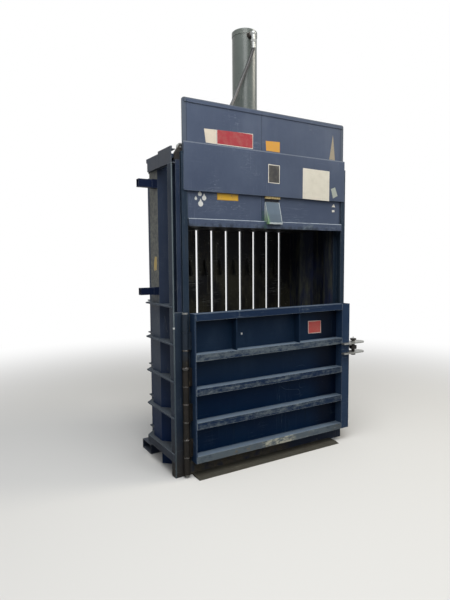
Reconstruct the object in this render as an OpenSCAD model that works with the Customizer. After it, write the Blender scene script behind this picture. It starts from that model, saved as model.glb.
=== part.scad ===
// Upright baler for cardboard and film: a steel chamber with a hydraulic press on top,
// a sliding feed gate, a ribbed bale door on pipe hinges and a slotted rear wall.
// X runs across the feed opening, Y runs from front to back, Z is up.
// The origin is on the floor, under the axis of the press cylinder.

/* [Chamber] */
// Clear width between the side walls
chamber_w = 1524; // [1200:10:1900]
// Depth from the inside of the door to the rear wall
chamber_d = 722; // [700:2:900]
// Distance from the middle of the chamber back to the press axis
axis_shift = 34; // [0:1:40]
// Thickness of the side wall sheet
wall_t = 8; // [5:1:12]
// Height of the top of the side walls
wall_top = 2330; // [2200:10:2600]
// Thickness of the floor sheet
floor_t = 8; // [6:1:16]
// Height of the floor bars above the floor sheet
floor_bar_h = 30; // [20:1:50]
// Sheet thickness of the bars on the floor and under the platen
bar_t = 6; // [4:1:8]

/* [Base] */
// Height of the base channels
base_h = 100; // [80:5:160]
// Flange width of the base channels
base_flange = 50; // [40:1:70]
// Sheet thickness of the base channels
base_t = 8; // [6:1:12]
// How far the front channel passes the chamber on the right
base_over = 21; // [0:1:30]
// Depth of the sill plate that lies in front of the base
sill_d = 128; // [60:1:160]
// Thickness of the sill plate
sill_t = 14; // [8:1:25]
// Length cut off the sill plate at the right
sill_short = 120; // [0:5:300]
// Number of joists under the floor
joist_count = 5; // [3:2:7]
// Height of the rear fork tube
foot_h = 78; // [60:1:90]
// Depth of the rear fork tube
foot_d = 188; // [120:1:200]
// Distance of the fork tube from the rear wall
foot_back = 2; // [0:1:60]
// How far the rear fork tube passes the chamber on each side
foot_over = 109; // [100:1:150]

/* [Side walls] */
// How far the press column stands out of the side wall
column_out = 92; // [60:1:120]
// Width of the flat face of the press column
column_flat = 160; // [120:2:220]
// Reach of the side ribs from the chamber face
rib_reach = 138; // [132:1:170]
// Thickness of the side ribs
rib_t = 10; // [6:1:16]
// Height of the top of the lowest rib
rib_first = 185; // [170:5:260]
// Height from one rib to the next
rib_pitch = 278; // [240:2:300]
// How far the ribs run out past the middle of the column
rib_run = 118; // [100:1:150]
// Reach of the narrow rear part of the ribs
rib_rear_reach = 28; // [15:1:60]

/* [Rear wall] */
// Spacing of the tie slots
slot_pitch = 156; // [120:1:180]
// Width of a tie slot
slot_w = 25; // [18:1:40]
// Number of tie slots
slot_count = 9; // [5:2:9]
// Depth of the rear wall channels
rear_flange = 20; // [15:1:60]
// Sheet thickness of the rear wall channels
rear_t = 6; // [4:1:10]
// Height of the lower edge of the retainer dogs
dog_z = 1494; // [1400:2:1560]
// Height of a retainer dog
dog_h = 150; // [80:2:200]
// Reach of a retainer dog into the chamber
dog_reach = 58; // [30:1:70]
// Thickness of a retainer dog
dog_t = 14; // [8:1:20]

/* [Guides] */
// Width of the gate guide channels
guide_w = 48; // [40:1:60]
// Depth of the gate guide channels
guide_d = 95; // [80:1:120]
// Flange thickness of the gate guide channels
guide_t = 6; // [4:1:10]
// Height of the top of the gate guides
guide_top = 2420; // [2400:5:2600]
// Height of the fixed plate across the gate
cross_h = 350; // [250:5:420]
// Height of the top edge of the fixed plate
cross_top = 2493; // [2470:1:2550]
// Thickness of the fixed plate
cross_t = 8; // [5:1:12]

/* [Gate] */
// Height of the gate sheet
gate_h = 921; // [800:1:1000]
// Height of the lower edge of the raised gate
gate_bottom = 1885; // [1880:1:1950]
// Sheet thickness of the gate
gate_t = 3; // [2:0.5:5]
// Depth of the bent edges of the gate
gate_edge = 12; // [8:1:12]
// Gap between the gate and the front flange of its guide
gate_gap = 6; // [3:1:7]
// Height of the lip along the lower edge of the gate
lip_h = 58; // [30:1:70]
// Distance of the welded seam from the middle of the gate
seam_x = 102; // [50:1:300]
// Width of the gate handle
handle_w = 140; // [100:1:200]
// Height of the gate handle
handle_h = 180; // [120:1:200]
// Distance of the gate handle from the middle of the gate
handle_x = 10; // [0:1:60]
// Reach of the gate handle at its lower edge
handle_reach = 50; // [35:1:65]

/* [Door] */
// Height of the top of the door
door_top = 1240; // [1200:1:1255]
// Height of the lower edge of the door
door_bottom = 112; // [112:1:130]
// Depth of the door ribs
door_d = 81; // [60:1:100]
// Height of a door rib
door_rib_h = 52; // [40:1:60]
// Height from one lower door rib to the next
door_rib_pitch = 258; // [220:1:262]
// Number of lower door ribs
door_rib_count = 4; // [3:1:4]
// Sheet thickness of the door skin
door_skin_t = 6; // [4:1:10]
// Thickness of the left stile plate
stile_t = 10; // [6:1:16]
// Width of the right stile
stile_w = 88; // [60:1:110]
// Gap between the closed door and the guides
door_gap = 4; // [2:1:8]

/* [Hinge] */
// Outside diameter of the hinge pipe
knuckle_d = 50; // [40:1:60]
// Diameter of the hinge pin
pin_d = 30; // [20:1:34]
// Number of hinge knuckles
knuckle_count = 9; // [5:2:13]
// Gap between two hinge knuckles
knuckle_gap = 2; // [1:0.5:4]
// Width of the hinge post beside the left guide
post_w = 82; // [80:1:140]
// Depth of the hinge post
post_d = 66; // [62:1:90]
// Thickness of the outer bar of the hinge post
post_t = 8; // [6:1:20]

/* [Latch] */
// Height of the lower latch ear
ear_z = 790; // [740:1:830]
// Height from one latch ear to the other
ear_pitch = 88; // [70:1:100]
// Thickness of a latch ear
ear_t = 12; // [8:1:16]
// Depth of the latch ears
ear_d = 104; // [80:1:120]
// Reach of the latch ears past the door
ear_reach = 180; // [150:1:220]
// Diameter of the latch pin
latch_pin_d = 30; // [20:1:36]
// Thickness of the latch hook
hook_t = 30; // [16:1:40]
// Angle by which the hook is swung off its keeper
hook_open = 35; // [30:1:60]

/* [Press] */
// Outside diameter of the cylinder barrel
barrel_d = 212; // [200:2:260]
// Bore of the cylinder
bore_d = 180; // [150:1:184]
// Height of the top of the cylinder
cylinder_top = 3565; // [3400:5:3700]
// Diameter of the piston rod
rod_d = 114; // [80:1:130]
// Stroke of the press
stroke = 1016; // [900:1:1020]
// Height of the underside of the raised platen
platen_rest = 1900; // [1900:1:1915]
// Thickness of the platen face
face_t = 45; // [40:1:60]
// Height of the beams on the platen
beam_h = 150; // [100:2:160]
// Clearance round the platen
platen_gap = 12; // [8:1:20]
// Height of the crosshead channels
crosshead_h = 230; // [180:5:235]
// Thickness of the deck plate
deck_t = 20; // [12:1:30]

/* [Power unit] */
// Length of the oil tank
tank_l = 400; // [300:5:440]
// Depth of the oil tank
tank_w = 150; // [120:5:160]
// Height of the oil tank
tank_h = 200; // [150:5:200]
// Diameter of the motor
motor_d = 134; // [100:2:140]
// Height of the motor above the tank
motor_h = 160; // [120:5:170]

/* [Counterweight] */
// Width of the counterweight
weight_w = 66; // [50:1:70]
// Depth of the counterweight
weight_d = 38; // [20:1:40]
// Height of the counterweight
weight_h = 540; // [300:10:560]
// Outside width of the rope guard tube
guard_w = 36; // [24:1:38]
// Width of the rope pulley
pulley_w = 12; // [8:1:12]
// Diameter of the rope groove of the pulley
pulley_d = 50; // [40:1:56]

/* [Control box] */
// Width of the control box
box_w = 260; // [200:5:320]
// Height of the control box
box_h = 380; // [300:5:500]
// Depth of the control box
box_d = 130; // [100:5:160]
// Height of the lower edge of the control box
box_z = 1420; // [1320:5:1600]

/* [Hidden] */

$fn = 48;
eps = 0.01;

navy = [0.10, 0.16, 0.27];
navy_worn = [0.19, 0.25, 0.36];
steel = [0.55, 0.56, 0.57];
dark_steel = [0.22, 0.22, 0.23];
grey_green = [0.35, 0.40, 0.40];

// Main planes
half_w = chamber_w / 2;
front_y = -(chamber_d / 2 + axis_shift);
rear_y = front_y + chamber_d;
wall_x = half_w + wall_t;
column_x = wall_x + column_out;
rib_x = half_w + rib_reach;
column_y = column_flat / 2;
column_foot = column_y + column_out;
floor_top = base_h + floor_t + floor_bar_h;
foot_y = rear_y - foot_back - foot_d;
post_x = half_w - 2 + guide_w;
guide_in = half_w - 2;
rear_back = rear_y + rear_flange;

// Gate
gate_y = front_y + guide_t + gate_gap;
gate_back = gate_y + gate_edge;
gate_half = post_x - 18;
keeper_gap = 0.6;
keeper_w = 24;
keeper_d = 12;
gate_top = gate_bottom + gate_h;
lip_clear = 3;
lip_d = 24;
lug_x = guide_in + 4;
lug_w = 10;
lug_h = 60;

// Door
door_back = front_y - door_gap;
door_front = door_back - door_d;
door_left = -(half_w - 4);
door_right = door_left + chamber_w + 31;
skin_front = door_back - door_skin_t;
stile_in = door_right - stile_w;

// Hinge
hinge_x = -post_x;
hinge_y = front_y - knuckle_d / 2 - 2;
hinge_low = 22;
knuckle_l = (door_top - hinge_low) / knuckle_count;
hinge_fit = 0.3;

// Latch
latch_x = door_right + 65;
latch_y = door_front + ear_d / 2 - 36;
latch_low = ear_z;
latch_high = ear_z + ear_pitch;
hook_z = ear_z + ear_t + (ear_pitch - ear_t - hook_t) / 2;
keeper_x = post_x + 32;
keeper_y = front_y + 35;
keeper_pin_d = 24;
hook_reach = norm([keeper_x - latch_x, keeper_y - latch_y]);
hook_angle = atan2(keeper_x - latch_x, keeper_y - latch_y);

// Press
crosshead_top = guide_top + 10;
crosshead_low = crosshead_top - crosshead_h;
crosshead_y = barrel_d / 2 + 2;
crosshead_flange = 50;
gland_low = crosshead_top - 90;
gland_top = crosshead_top - 20;
cap_t = 40;
piston_t = 75;
piston_top = cylinder_top - cap_t - 2;
rod_low = platen_rest + face_t + 20;
platen_half = half_w - platen_gap;
platen_front = front_y + 35;
platen_back = rear_y - platen_gap;
notch_y = rear_y - dog_reach - platen_gap;
bar_h = face_t - 15;
shoe_gap = 6;
beam_y = 160;
beam_t = 14;

// Counterweight
weight_x = -(post_x + (post_w - post_t) / 2);
weight_gap = 0.8;
weight_y = front_y + 10 + weight_gap + weight_d / 2;
weight_low = 60;
guard_x = -(post_x + 2 + guard_w / 2);
guard_y = gate_back + 14;
cover_top = door_top + 10;
guard_top = guide_top - 60;
pulley_x = (guard_x - lug_x - lug_w / 2) / 2;
pulley_z = guide_top + 35;
pulley_pin_d = 12;
rope_hole = 16;

// A channel along X, web at the front, flanges to the back, lower edge at z = 0
module channel_x(len, h, b, t) {
    translate([-len / 2, 0, 0])
        rotate([90, 0, 90])
            linear_extrude(len)
                polygon([[0, 0], [b, 0], [b, t], [t, t], [t, h - t], [b, h - t], [b, h], [0, h]]);
}

// A channel along Z, web at x = 0 to t, flanges towards -X
module channel_z(h, d, b, t, web) {
    linear_extrude(h)
        difference() {
            translate([-b, 0])
                square([b, d]);
            translate([-b - 1, t])
                square([b - web + 1, d - 2 * t]);
        }
}

// A box given by two opposite corners
module block(a, b) {
    translate(a)
        cube([b[0] - a[0], b[1] - a[1], b[2] - a[2]]);
}

// A formed bar along Y between two corners, open above or below
module formed_bar(a, b, t, open_above) {
    difference() {
        block(a, b);
        block([a[0] + t, a[1] - 1, a[2] + (open_above ? t : -1)], [b[0] - t, b[1] + 1, b[2] - (open_above ? -1 : t)]);
    }
}

// A hexagon head with its washer, on the plane z = 0
module hex_head(d) {
    cylinder(h = 0.15 * d, d = 2 * d);
    translate([0, 0, 0.15 * d])
        cylinder(h = 0.65 * d, d = 1.75 * d, $fn = 6);
}

// A point of a smooth curve through the points p, at t counted in legs from the first point
function on_curve(p, t) = let(
    i = min(floor(t), len(p) - 2),
    u = t - i,
    a = p[max(i - 1, 0)],
    b = p[i],
    c = p[i + 1],
    d = p[min(i + 2, len(p) - 1)]
) 0.5 * (2 * b + (c - a) * u + (2 * a - 5 * b + 4 * c - d) * u * u + (3 * b - a - 3 * c + d) * u * u * u);

function unit(v) = v / norm(v);

// A tube swept along the smooth curve through the points, which never runs along Y
module hose(points, d) {
    sides = 10;
    per_leg = 4;
    rings = (len(points) - 1) * per_leg;
    ring = [for (k = [0 : rings])
        let(
            q = on_curve(points, k / per_leg),
            t = k == 0 ? unit(points[1] - points[0])
                : k == rings ? unit(points[len(points) - 1] - points[len(points) - 2])
                : unit(on_curve(points, (k + 0.5) / per_leg) - on_curve(points, (k - 0.5) / per_leg)),
            n = unit(cross(t, [0, 1, 0])),
            m = cross(t, n)
        )
        for (j = [0 : sides - 1])
            q + d / 2 * (cos(j * 360 / sides) * n + sin(j * 360 / sides) * m)];
    walls = [for (k = [0 : rings - 1], j = [0 : sides - 1])
        let(a = k * sides, b = (j + 1) % sides)
            [a + j, a + sides + j, a + sides + b, a + b]];
    ends = [[for (j = [0 : sides - 1]) j], [for (j = [sides - 1 : -1 : 0]) rings * sides + j]];
    polyhedron(ring, concat(walls, ends));
}

function slot_x(i) = (i - (slot_count - 1) / 2) * slot_pitch;
function panel_left(i) = i == 0 ? -half_w : slot_x(i - 1) + slot_w / 2;
function panel_right(i) = i == slot_count ? half_w : slot_x(i) - slot_w / 2;
function panel_mid(i) = (panel_left(i) + panel_right(i)) / 2;
function rib_z(i) = rib_first - rib_t + i * rib_pitch;
function door_rib_z(i) = door_bottom + i * door_rib_pitch;
rib_count = floor((door_top + 60 - rib_first) / rib_pitch) + 1;

// Base and floor

module base_sills() {
    base_right = half_w + base_over;
    rear_web = foot_y + foot_d + 2 + base_flange;
    color(navy) {
        translate([(base_right - post_x) / 2, front_y, 0])
            channel_x(base_right + post_x, base_h, base_flange, base_t);
        translate([0, rear_web, 0])
            mirror([0, 1, 0])
                channel_x(chamber_w, base_h, base_flange, base_t);
    }
}

module base_joists() {
    joist_t = 10;
    color(navy)
        for (i = [0 : joist_count - 1]) {
            x = (2 * i / (joist_count - 1) - 1) * (half_w - joist_t / 2);
            block([x - joist_t / 2, front_y + base_flange, 0], [x + joist_t / 2, foot_y, base_h]);
        }
}

// The rear foot is a tube that takes a fork from either side
module rear_foot() {
    out = half_w + foot_over;
    wall = 6;
    color(navy)
        difference() {
            block([-out, foot_y, 0], [out, foot_y + foot_d, foot_h]);
            block([-out - 1, foot_y + wall, wall], [out + 1, foot_y + foot_d - wall, foot_h - wall]);
        }
}

module floor_plate() {
    color(dark_steel)
        block([-guide_in, front_y, base_h], [guide_in, rear_y, base_h + floor_t]);
}

// The bars leave a groove for each tie, in line with the slots of the rear wall
module floor_bars() {
    color(dark_steel)
        for (i = [0 : slot_count])
            formed_bar([max(panel_left(i), -guide_in), front_y, base_h + floor_t],
                [min(panel_right(i), guide_in), rear_y, floor_top], bar_t, false);
}

module floor_sill() {
    color([0.30, 0.28, 0.24])
        translate([-half_w + 8, front_y, 0])
            rotate([90, 0, 90])
                linear_extrude(chamber_w - 8 - sill_short)
                    polygon([[-sill_d, 0], [0, 0], [0, sill_t], [-sill_d + 3 * sill_t, sill_t], [-sill_d, 3]]);
}

// Side walls

// Plan outline of a side wall: flat sheet with a press column bent out of it
module wall_plan() {
    t2 = wall_t * tan(22.5);
    outer = [[wall_x, front_y + guide_d], [wall_x, -column_foot], [column_x, -column_y],
        [column_x, column_y], [wall_x, column_foot], [wall_x, rear_back]];
    inner = [[half_w, rear_back], [half_w, column_foot + t2], [column_x - wall_t, column_y - t2],
        [column_x - wall_t, -column_y + t2], [half_w, -column_foot - t2], [half_w, front_y + guide_d]];
    polygon(concat(outer, inner));
}

module side_wall(side) {
    color(navy_worn)
        mirror([side < 0 ? 1 : 0, 0, 0])
            difference() {
                linear_extrude(wall_top)
                    wall_plan();
                block([half_w - 1, -column_y, -1], [column_x + 1, rear_back + 1, base_h]);
            }
}

module left_side_wall() {
    side_wall(-1);
}

module right_side_wall() {
    side_wall(1);
}

// Plan outline of a side rib, from the points of its front end
module rib_plan(front) {
    rear_reach = half_w + rib_rear_reach;
    polygon(concat(front, [[rib_x, rib_run],
        [rear_reach, rib_run + rib_x - rear_reach], [rear_reach, rear_back],
        [wall_x, rear_back], [wall_x, column_foot], [column_x, column_y],
        [column_x, -column_y], [wall_x, -column_foot], [wall_x, front_y + guide_d],
        [post_x, front_y + guide_d]]));
}

// The left ribs run round the hinge post, the right ones start at the guide with a slanted end
module side_ribs() {
    behind = front_y + post_d;
    left_start = front_y + 5;
    right_start = front_y + 20;
    post_out = post_x + post_w;
    lip = 50;
    color(navy_worn)
        for (i = [0 : rib_count - 1])
            translate([0, 0, rib_z(i)]) {
                mirror([1, 0, 0]) {
                    linear_extrude(rib_t)
                        rib_plan([[post_x, behind], [post_out, behind], [post_out, left_start], [rib_x, left_start]]);
                    if (i == 0)
                        block([rib_x - rib_t, left_start, -lip], [rib_x, rib_run, eps]);
                }
                linear_extrude(rib_t)
                    rib_plan([[post_x, right_start], [post_x + 1, right_start],
                        [rib_x, right_start + rib_x - post_x]]);
            }
}

// Rear wall: formed channels with a tie slot between each pair

module rear_wall_channels() {
    color(navy_worn)
        for (i = [0 : slot_count])
            translate([panel_mid(i), rear_y, base_h])
                linear_extrude(wall_top - base_h)
                    difference() {
                        w = panel_right(i) - panel_left(i);
                        translate([-w / 2, 0])
                            square([w, rear_flange]);
                        translate([-w / 2 + rear_t, rear_t])
                            square([w - 2 * rear_t, rear_flange]);
                    }
}

module rear_wall_ribs() {
    inset = 20;
    rib_h = 60;
    rib_d = 40;
    sheet = 6;
    levels = [rib_z(0), rib_z(1), rib_z(2), rib_z(3), platen_rest + 80, wall_top - rib_h];
    color(navy)
        for (z = levels)
            translate([0, rear_back, z])
                channel_x(2 * (half_w - inset), rib_h, rib_d, sheet);
}

module retainer_dogs() {
    color(dark_steel)
        for (i = [1 : slot_count - 1])
            translate([panel_mid(i) - dog_t / 2, rear_y, dog_z])
                rotate([90, 0, 90])
                    linear_extrude(dog_t)
                        polygon([[0, 0], [-dog_reach, 0], [-dog_reach, 8], [-6, dog_h], [0, dog_h]]);
}

// Front posts and the fixed plate

module gate_guide() {
    translate([post_x, front_y, base_h])
        channel_z(guide_top - base_h, guide_d, guide_w, guide_t, wall_t);
    block([post_x - wall_t - keeper_w, gate_back + keeper_gap, door_top],
        [post_x - wall_t, gate_back + keeper_gap + keeper_d, guide_top]);
}

module left_gate_guide() {
    color(navy)
        mirror([1, 0, 0])
            gate_guide();
}

module right_gate_guide() {
    color(navy)
        gate_guide();
}

module gate_cross_plate() {
    half = post_x - 18;
    color(navy)
        block([-half, front_y - cross_t, cross_top - cross_h], [half, front_y, cross_top]);
}

module hinge_post() {
    outer = -(post_x + post_w);
    color(navy_worn)
        block([outer, front_y, 0], [outer + post_t, front_y + post_d, wall_top]);
}

// The sheet that joins the outer bar of the hinge post to the gate guide
module hinge_post_web() {
    color(navy_worn)
        block([-(post_x + post_w) + post_t, front_y + post_d - wall_t, 0], [-post_x, front_y + post_d, wall_top]);
}

module hinge_backing_plate() {
    left = -(post_x + post_w) + post_t;
    color(navy_worn)
        difference() {
            union() {
                block([left, front_y, 0], [-post_x, front_y + 10, cover_top]);
                block([left, front_y + 10 - eps, cover_top - 8], [-post_x, front_y + post_d - wall_t, cover_top]);
            }
            translate([guard_x, guard_y, cover_top - 9])
                cylinder(h = 10, d = rope_hole);
        }
}

// Rope guard and pulley

module rope_guard_tube() {
    r = guard_w / 2;
    color(navy)
        difference() {
            block([guard_x - r, guard_y - r, cover_top], [guard_x + r, guard_y + r, guard_top]);
            block([guard_x - r + 4, guard_y - r + 4, cover_top - 1],
                [guard_x + r - 4, guard_y + r - 4, guard_top + 1]);
        }
}

module pulley_bracket() {
    plate_t = 4;
    inner = pulley_w / 2 + 0.5;
    left = guard_x - guard_w / 2;
    right = pulley_x + 16;
    color(dark_steel)
        difference() {
            union() {
                for (s = [-1, 1])
                    translate([0, guard_y + s * (inner + plate_t / 2) + plate_t / 2, 0])
                        rotate([90, 0, 0])
                            linear_extrude(plate_t)
                                polygon([[left, guard_top], [-post_x, guard_top], [-post_x, guide_top],
                                    [right, guide_top], [right, pulley_z + 10], [right - 8, pulley_z + 18],
                                    [pulley_x - 8, pulley_z + 18], [left, guide_top - 10]]);
                block([left, guard_y - inner - eps, guard_top], [-post_x - 1, guard_y + inner + eps, guard_top + 6]);
            }
            translate([pulley_x, guard_y + guard_w / 2, pulley_z])
                rotate([90, 0, 0])
                    cylinder(h = guard_w, d = pulley_pin_d);
            translate([guard_x, guard_y, guard_top - 1])
                cylinder(h = 8, d = rope_hole);
        }
}

module rope_pulley() {
    color(steel)
        translate([pulley_x, guard_y, pulley_z])
            rotate([90, 0, 0]) {
                rotate_extrude()
                    polygon([[0, -pulley_w / 2], [pulley_d / 2 + 3, -pulley_w / 2], [pulley_d / 2 + 3, -3],
                        [pulley_d / 2, 0], [pulley_d / 2 + 3, 3], [pulley_d / 2 + 3, pulley_w / 2],
                        [0, pulley_w / 2]]);
                translate([0, 0, -pulley_w / 2 - 5])
                    cylinder(h = pulley_w + 10, d = pulley_pin_d - 0.1);
            }
}

module counterweight() {
    eye = 60;
    color(dark_steel)
        difference() {
            translate([weight_x - weight_w / 2, weight_y - weight_d / 2, weight_low])
                cube([weight_w, weight_d, weight_h]);
            translate([guard_x, guard_y, weight_low + weight_h - eye])
                cylinder(h = eye + 1, d = rope_hole);
        }
}

// Top of the frame

module top_rails() {
    inner = column_x - wall_t;
    outer = rib_x - 10;
    rear = column_y - 30;
    sheet = 6;
    bar_l = 230;
    bar_w = 12;
    color(navy_worn)
        for (s = [-1, 1])
            mirror([s < 0 ? 1 : 0, 0, 0]) {
                start = s < 0 ? front_y : front_y + 110;
                difference() {
                    block([inner, start, wall_top], [outer, rear, crosshead_top]);
                    block([inner - 1, start - 1, wall_top + sheet], [outer - sheet, rear + 1, crosshead_top - sheet]);
                }
                block([outer - bar_w, start, crosshead_top], [outer, start + bar_l, crosshead_top + 18]);
            }
}

module crosshead_beams() {
    reach = column_x - wall_t;
    color(navy)
        for (s = [0, 1])
            mirror([0, s, 0])
                difference() {
                    translate([0, crosshead_y, crosshead_low])
                        channel_x(2 * reach, crosshead_h, crosshead_flange, 10);
                    for (end = [-1, 1])
                        translate([end * (half_w + reach) / 2, crosshead_y + crosshead_flange / 2, wall_top])
                            translate([-reach / 2 + half_w / 2 - 1, -crosshead_flange / 2 - 1, -crosshead_h])
                                cube([reach - half_w + 2, crosshead_flange + 2, crosshead_h]);
                }
}

module crosshead_deck() {
    reach = column_x - wall_t;
    half_d = crosshead_y + crosshead_flange;
    color(navy)
        difference() {
            union() {
                block([-reach, -half_d, crosshead_top], [reach, half_d, crosshead_top + deck_t]);
                block([-half_w + 30, unit_y - 10, crosshead_top], [0, -half_d, crosshead_top + deck_t]);
            }
            translate([0, 0, crosshead_top - 1])
                cylinder(h = deck_t + 2, d = barrel_d + 1, $fn = 96);
        }
}

// Press cylinder

module cylinder_barrel() {
    color(grey_green)
        difference() {
            translate([0, 0, gland_top])
                cylinder(h = cylinder_top - cap_t - gland_top, d = barrel_d, $fn = 96);
            translate([0, 0, gland_top - 1])
                cylinder(h = cylinder_top - cap_t - gland_top + 2, d = bore_d, $fn = 96);
        }
}

module cylinder_cap() {
    color(grey_green)
        translate([0, 0, cylinder_top - cap_t])
            rotate_extrude($fn = 96)
                polygon([[0, 0], [barrel_d / 2 + 3, 0], [barrel_d / 2 + 3, cap_t - 6],
                    [barrel_d / 2 - 3, cap_t], [0, cap_t]]);
}

module cylinder_gland() {
    color(dark_steel)
        difference() {
            translate([0, 0, gland_low])
                cylinder(h = gland_top - gland_low, d = barrel_d, $fn = 96);
            translate([0, 0, gland_low - 1])
                cylinder(h = gland_top - gland_low + 2, d = rod_d + 0.1, $fn = 96);
        }
}

flange_rim = 65;
flange_d = barrel_d + 2 * flange_rim;
bolt_d = 20;
bolt_count = 8;

module cylinder_flange() {
    z = crosshead_top + deck_t;
    color(grey_green)
        difference() {
            translate([0, 0, z])
                cylinder(h = 28, d = flange_d, $fn = 96);
            translate([0, 0, z - 1])
                cylinder(h = 30, d = barrel_d, $fn = 96);
        }
}

module flange_bolts() {
    z = crosshead_top + deck_t + 28;
    color(steel)
        for (i = [0 : bolt_count - 1])
            rotate([0, 0, (i + 0.5) * 360 / bolt_count])
                translate([flange_d / 2 - 28, 0, z])
                    hex_head(bolt_d);
}

// Oil ports, hose elbows and hoses on the front of the cylinder
elbow_d = 40;
port_z = cylinder_top - cap_t - elbow_d / 2 - 1;
port_x = -12;
rod_port_up = 110;
rod_port_z = crosshead_top + rod_port_up;
rod_port_x = -40;
elbow_reach = 46;
elbow_out = barrel_d / 2 + elbow_reach;
elbow_leg = 75;
nut_h = 18;
hose_d = 28;
rod_hose_d = 18;
rod_bend = 75;
rod_port = 28;
unit_top = crosshead_top + deck_t;
unit_y = front_y + guide_d + 15;
lid_top = unit_top + tank_h + 6;
tank_inset = 112;
tank_x = -half_w + tank_inset;
valve_h = 70;
valve_x = tank_x + tank_l - 80;
valve_top = lid_top + valve_h;
valve_y = unit_y + 75;

module hose_elbow(x, z, up) {
    difference() {
        union() {
            translate([x, -elbow_out, z])
                rotate([-90, 0, 0])
                    cylinder(h = elbow_out, d = elbow_d);
            translate([x, -elbow_out, z])
                sphere(d = elbow_d);
            translate([x, -elbow_out, z])
                mirror([0, 0, up ? 0 : 1]) {
                    cylinder(h = elbow_leg, d = elbow_d - 8);
                    translate([0, 0, elbow_leg - nut_h - 5])
                        cylinder(h = nut_h, d = elbow_d + 4, $fn = 6);
                }
        }
        translate([0, 0, z - elbow_d])
            cylinder(h = 2 * elbow_d, d = barrel_d, $fn = 96);
    }
}

module hose_elbows() {
    color([0.70, 0.71, 0.72]) {
        hose_elbow(port_x, port_z, false);
        hose_elbow(rod_port_x, rod_port_z, true);
    }
}

// Route of the cap side hose: shares of the way from its elbow to the valve block
cap_shares = [[0, 0, 0], [0, 0, 0.05], [0.028, -0.1, 0.116], [0.145, -0.32, 0.266], [0.296, -0.45, 0.423],
    [0.478, -0.32, 0.594], [0.66, 0.08, 0.737], [0.805, 0.53, 0.82], [0.92, 0.87, 0.886],
    [0.969, 0.97, 0.923], [0.992, 1, 0.956], [1, 1, 0.991], [1, 1, 1]];
function route(a, b, shares) = [for (s = shares) [for (i = [0 : 2]) a[i] + s[i] * (b[i] - a[i])]];

// Route of the rod side hose: up, over in two quarter bends and down
function arch_point(a, b, x, z) = [x, a[1] + (b[1] - a[1]) * (x - a[0]) / (b[0] - a[0]), z];
function arch(a, b, r, top) = let(s = sign(b[0] - a[0])) concat(
    [a],
    [for (t = [0 : 30 : 90]) arch_point(a, b, a[0] + s * r * (1 - cos(t)), top - r + r * sin(t))],
    [for (t = [90 : -30 : 0]) arch_point(a, b, b[0] - s * r * (1 - cos(t)), top - r + r * sin(t))],
    [b]
);
cap_route = route([port_x, -elbow_out, port_z - elbow_leg], [valve_x, valve_y, valve_top], cap_shares);
rod_route = arch([rod_port_x, -elbow_out, rod_port_z + elbow_leg], [valve_x + rod_port, valve_y, valve_top],
    rod_bend, valve_top + rod_bend + 14);

module hoses() {
    color([0.06, 0.06, 0.06]) {
        hose(cap_route, hose_d);
        hose(rod_route, rod_hose_d);
    }
}

// Power unit on the deck behind the gate: the pump hangs in the tank under its motor
module oil_tank() {
    wall = 4;
    color(navy_worn) {
        difference() {
            block([tank_x, unit_y, unit_top], [tank_x + tank_l, unit_y + tank_w, lid_top]);
            block([tank_x + wall, unit_y + wall, unit_top + wall],
                [tank_x + tank_l - wall, unit_y + tank_w - wall, lid_top - 6]);
            translate([motor_x, motor_y, lid_top - 7])
                cylinder(h = 8, d = shaft_hole);
        }
        translate([valve_x - 90, unit_y + 40, lid_top])
            cylinder(h = 35, d = 50);
    }
}

module valve_block() {
    color(dark_steel) {
        block([valve_x - 40, valve_y - 40, lid_top], [valve_x + 40, valve_y + 40, valve_top]);
        block([valve_x - 30, valve_y + 40, lid_top + 15], [valve_x + 30, valve_y + 70, valve_top - 15]);
    }
}

motor_x = tank_x + motor_d / 2 + 20;
motor_y = unit_y + tank_w / 2;
shaft_hole = 60;

module motor_pump() {
    fins = 24;
    shaft = shaft_hole - 4;
    pump_h = 120;
    color(grey_green)
        translate([motor_x, motor_y, lid_top]) {
            difference() {
                cylinder(h = motor_h, d = motor_d, $fn = 64);
                for (i = [0 : fins - 1])
                    rotate([0, 0, i * 360 / fins])
                        translate([motor_d / 2 - 7, -3, 20])
                            cube([10, 6, motor_h - 50]);
            }
            translate([motor_d / 2 - 6, -30, motor_h - 75])
                cube([26, 60, 60]);
            translate([0, 0, -30])
                cylinder(h = 30 + eps, d = shaft);
            translate([0, 0, -30 - pump_h])
                cylinder(h = pump_h + eps, d = 90);
        }
}

// Arms on the left column

bracket_h = [60, 55];
bracket_z = [2196, 1368];
bracket_len = 150;

module side_brackets() {
    y = -column_y + 5;
    arm_d = 48;
    sleeve = 42;
    wall = 5;
    color(navy)
        for (i = [0, 1]) {
            h = bracket_h[i];
            difference() {
                union() {
                    block([-column_x - bracket_len, y, bracket_z[i]], [-column_x - sleeve, y + arm_d, bracket_z[i] + h]);
                    block([-column_x - sleeve, y - 4, bracket_z[i] - 3], [-column_x, y + arm_d + 4, bracket_z[i] + h + 3]);
                }
                block([-column_x - bracket_len - 1, y + wall, bracket_z[i] + wall],
                    [-column_x - sleeve, y + arm_d - wall, bracket_z[i] + h - wall]);
            }
        }
}

// Hinge

module knuckle(i) {
    translate([hinge_x, hinge_y, hinge_low + i * knuckle_l + knuckle_gap / 2])
        cylinder(h = knuckle_l - knuckle_gap, d = knuckle_d);
}

module knuckle_bore() {
    translate([hinge_x, hinge_y, -1])
        cylinder(h = door_top + 40, d = pin_d + hinge_fit / 3);
}

module frame_knuckles() {
    color([0.33, 0.28, 0.24])
        difference() {
            union()
                for (i = [0 : 2 : knuckle_count - 1]) {
                    knuckle(i);
                    translate([hinge_x - 14, hinge_y, hinge_low + i * knuckle_l + knuckle_gap / 2])
                        cube([28, front_y - hinge_y, knuckle_l - knuckle_gap]);
                }
            knuckle_bore();
        }
}

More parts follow.
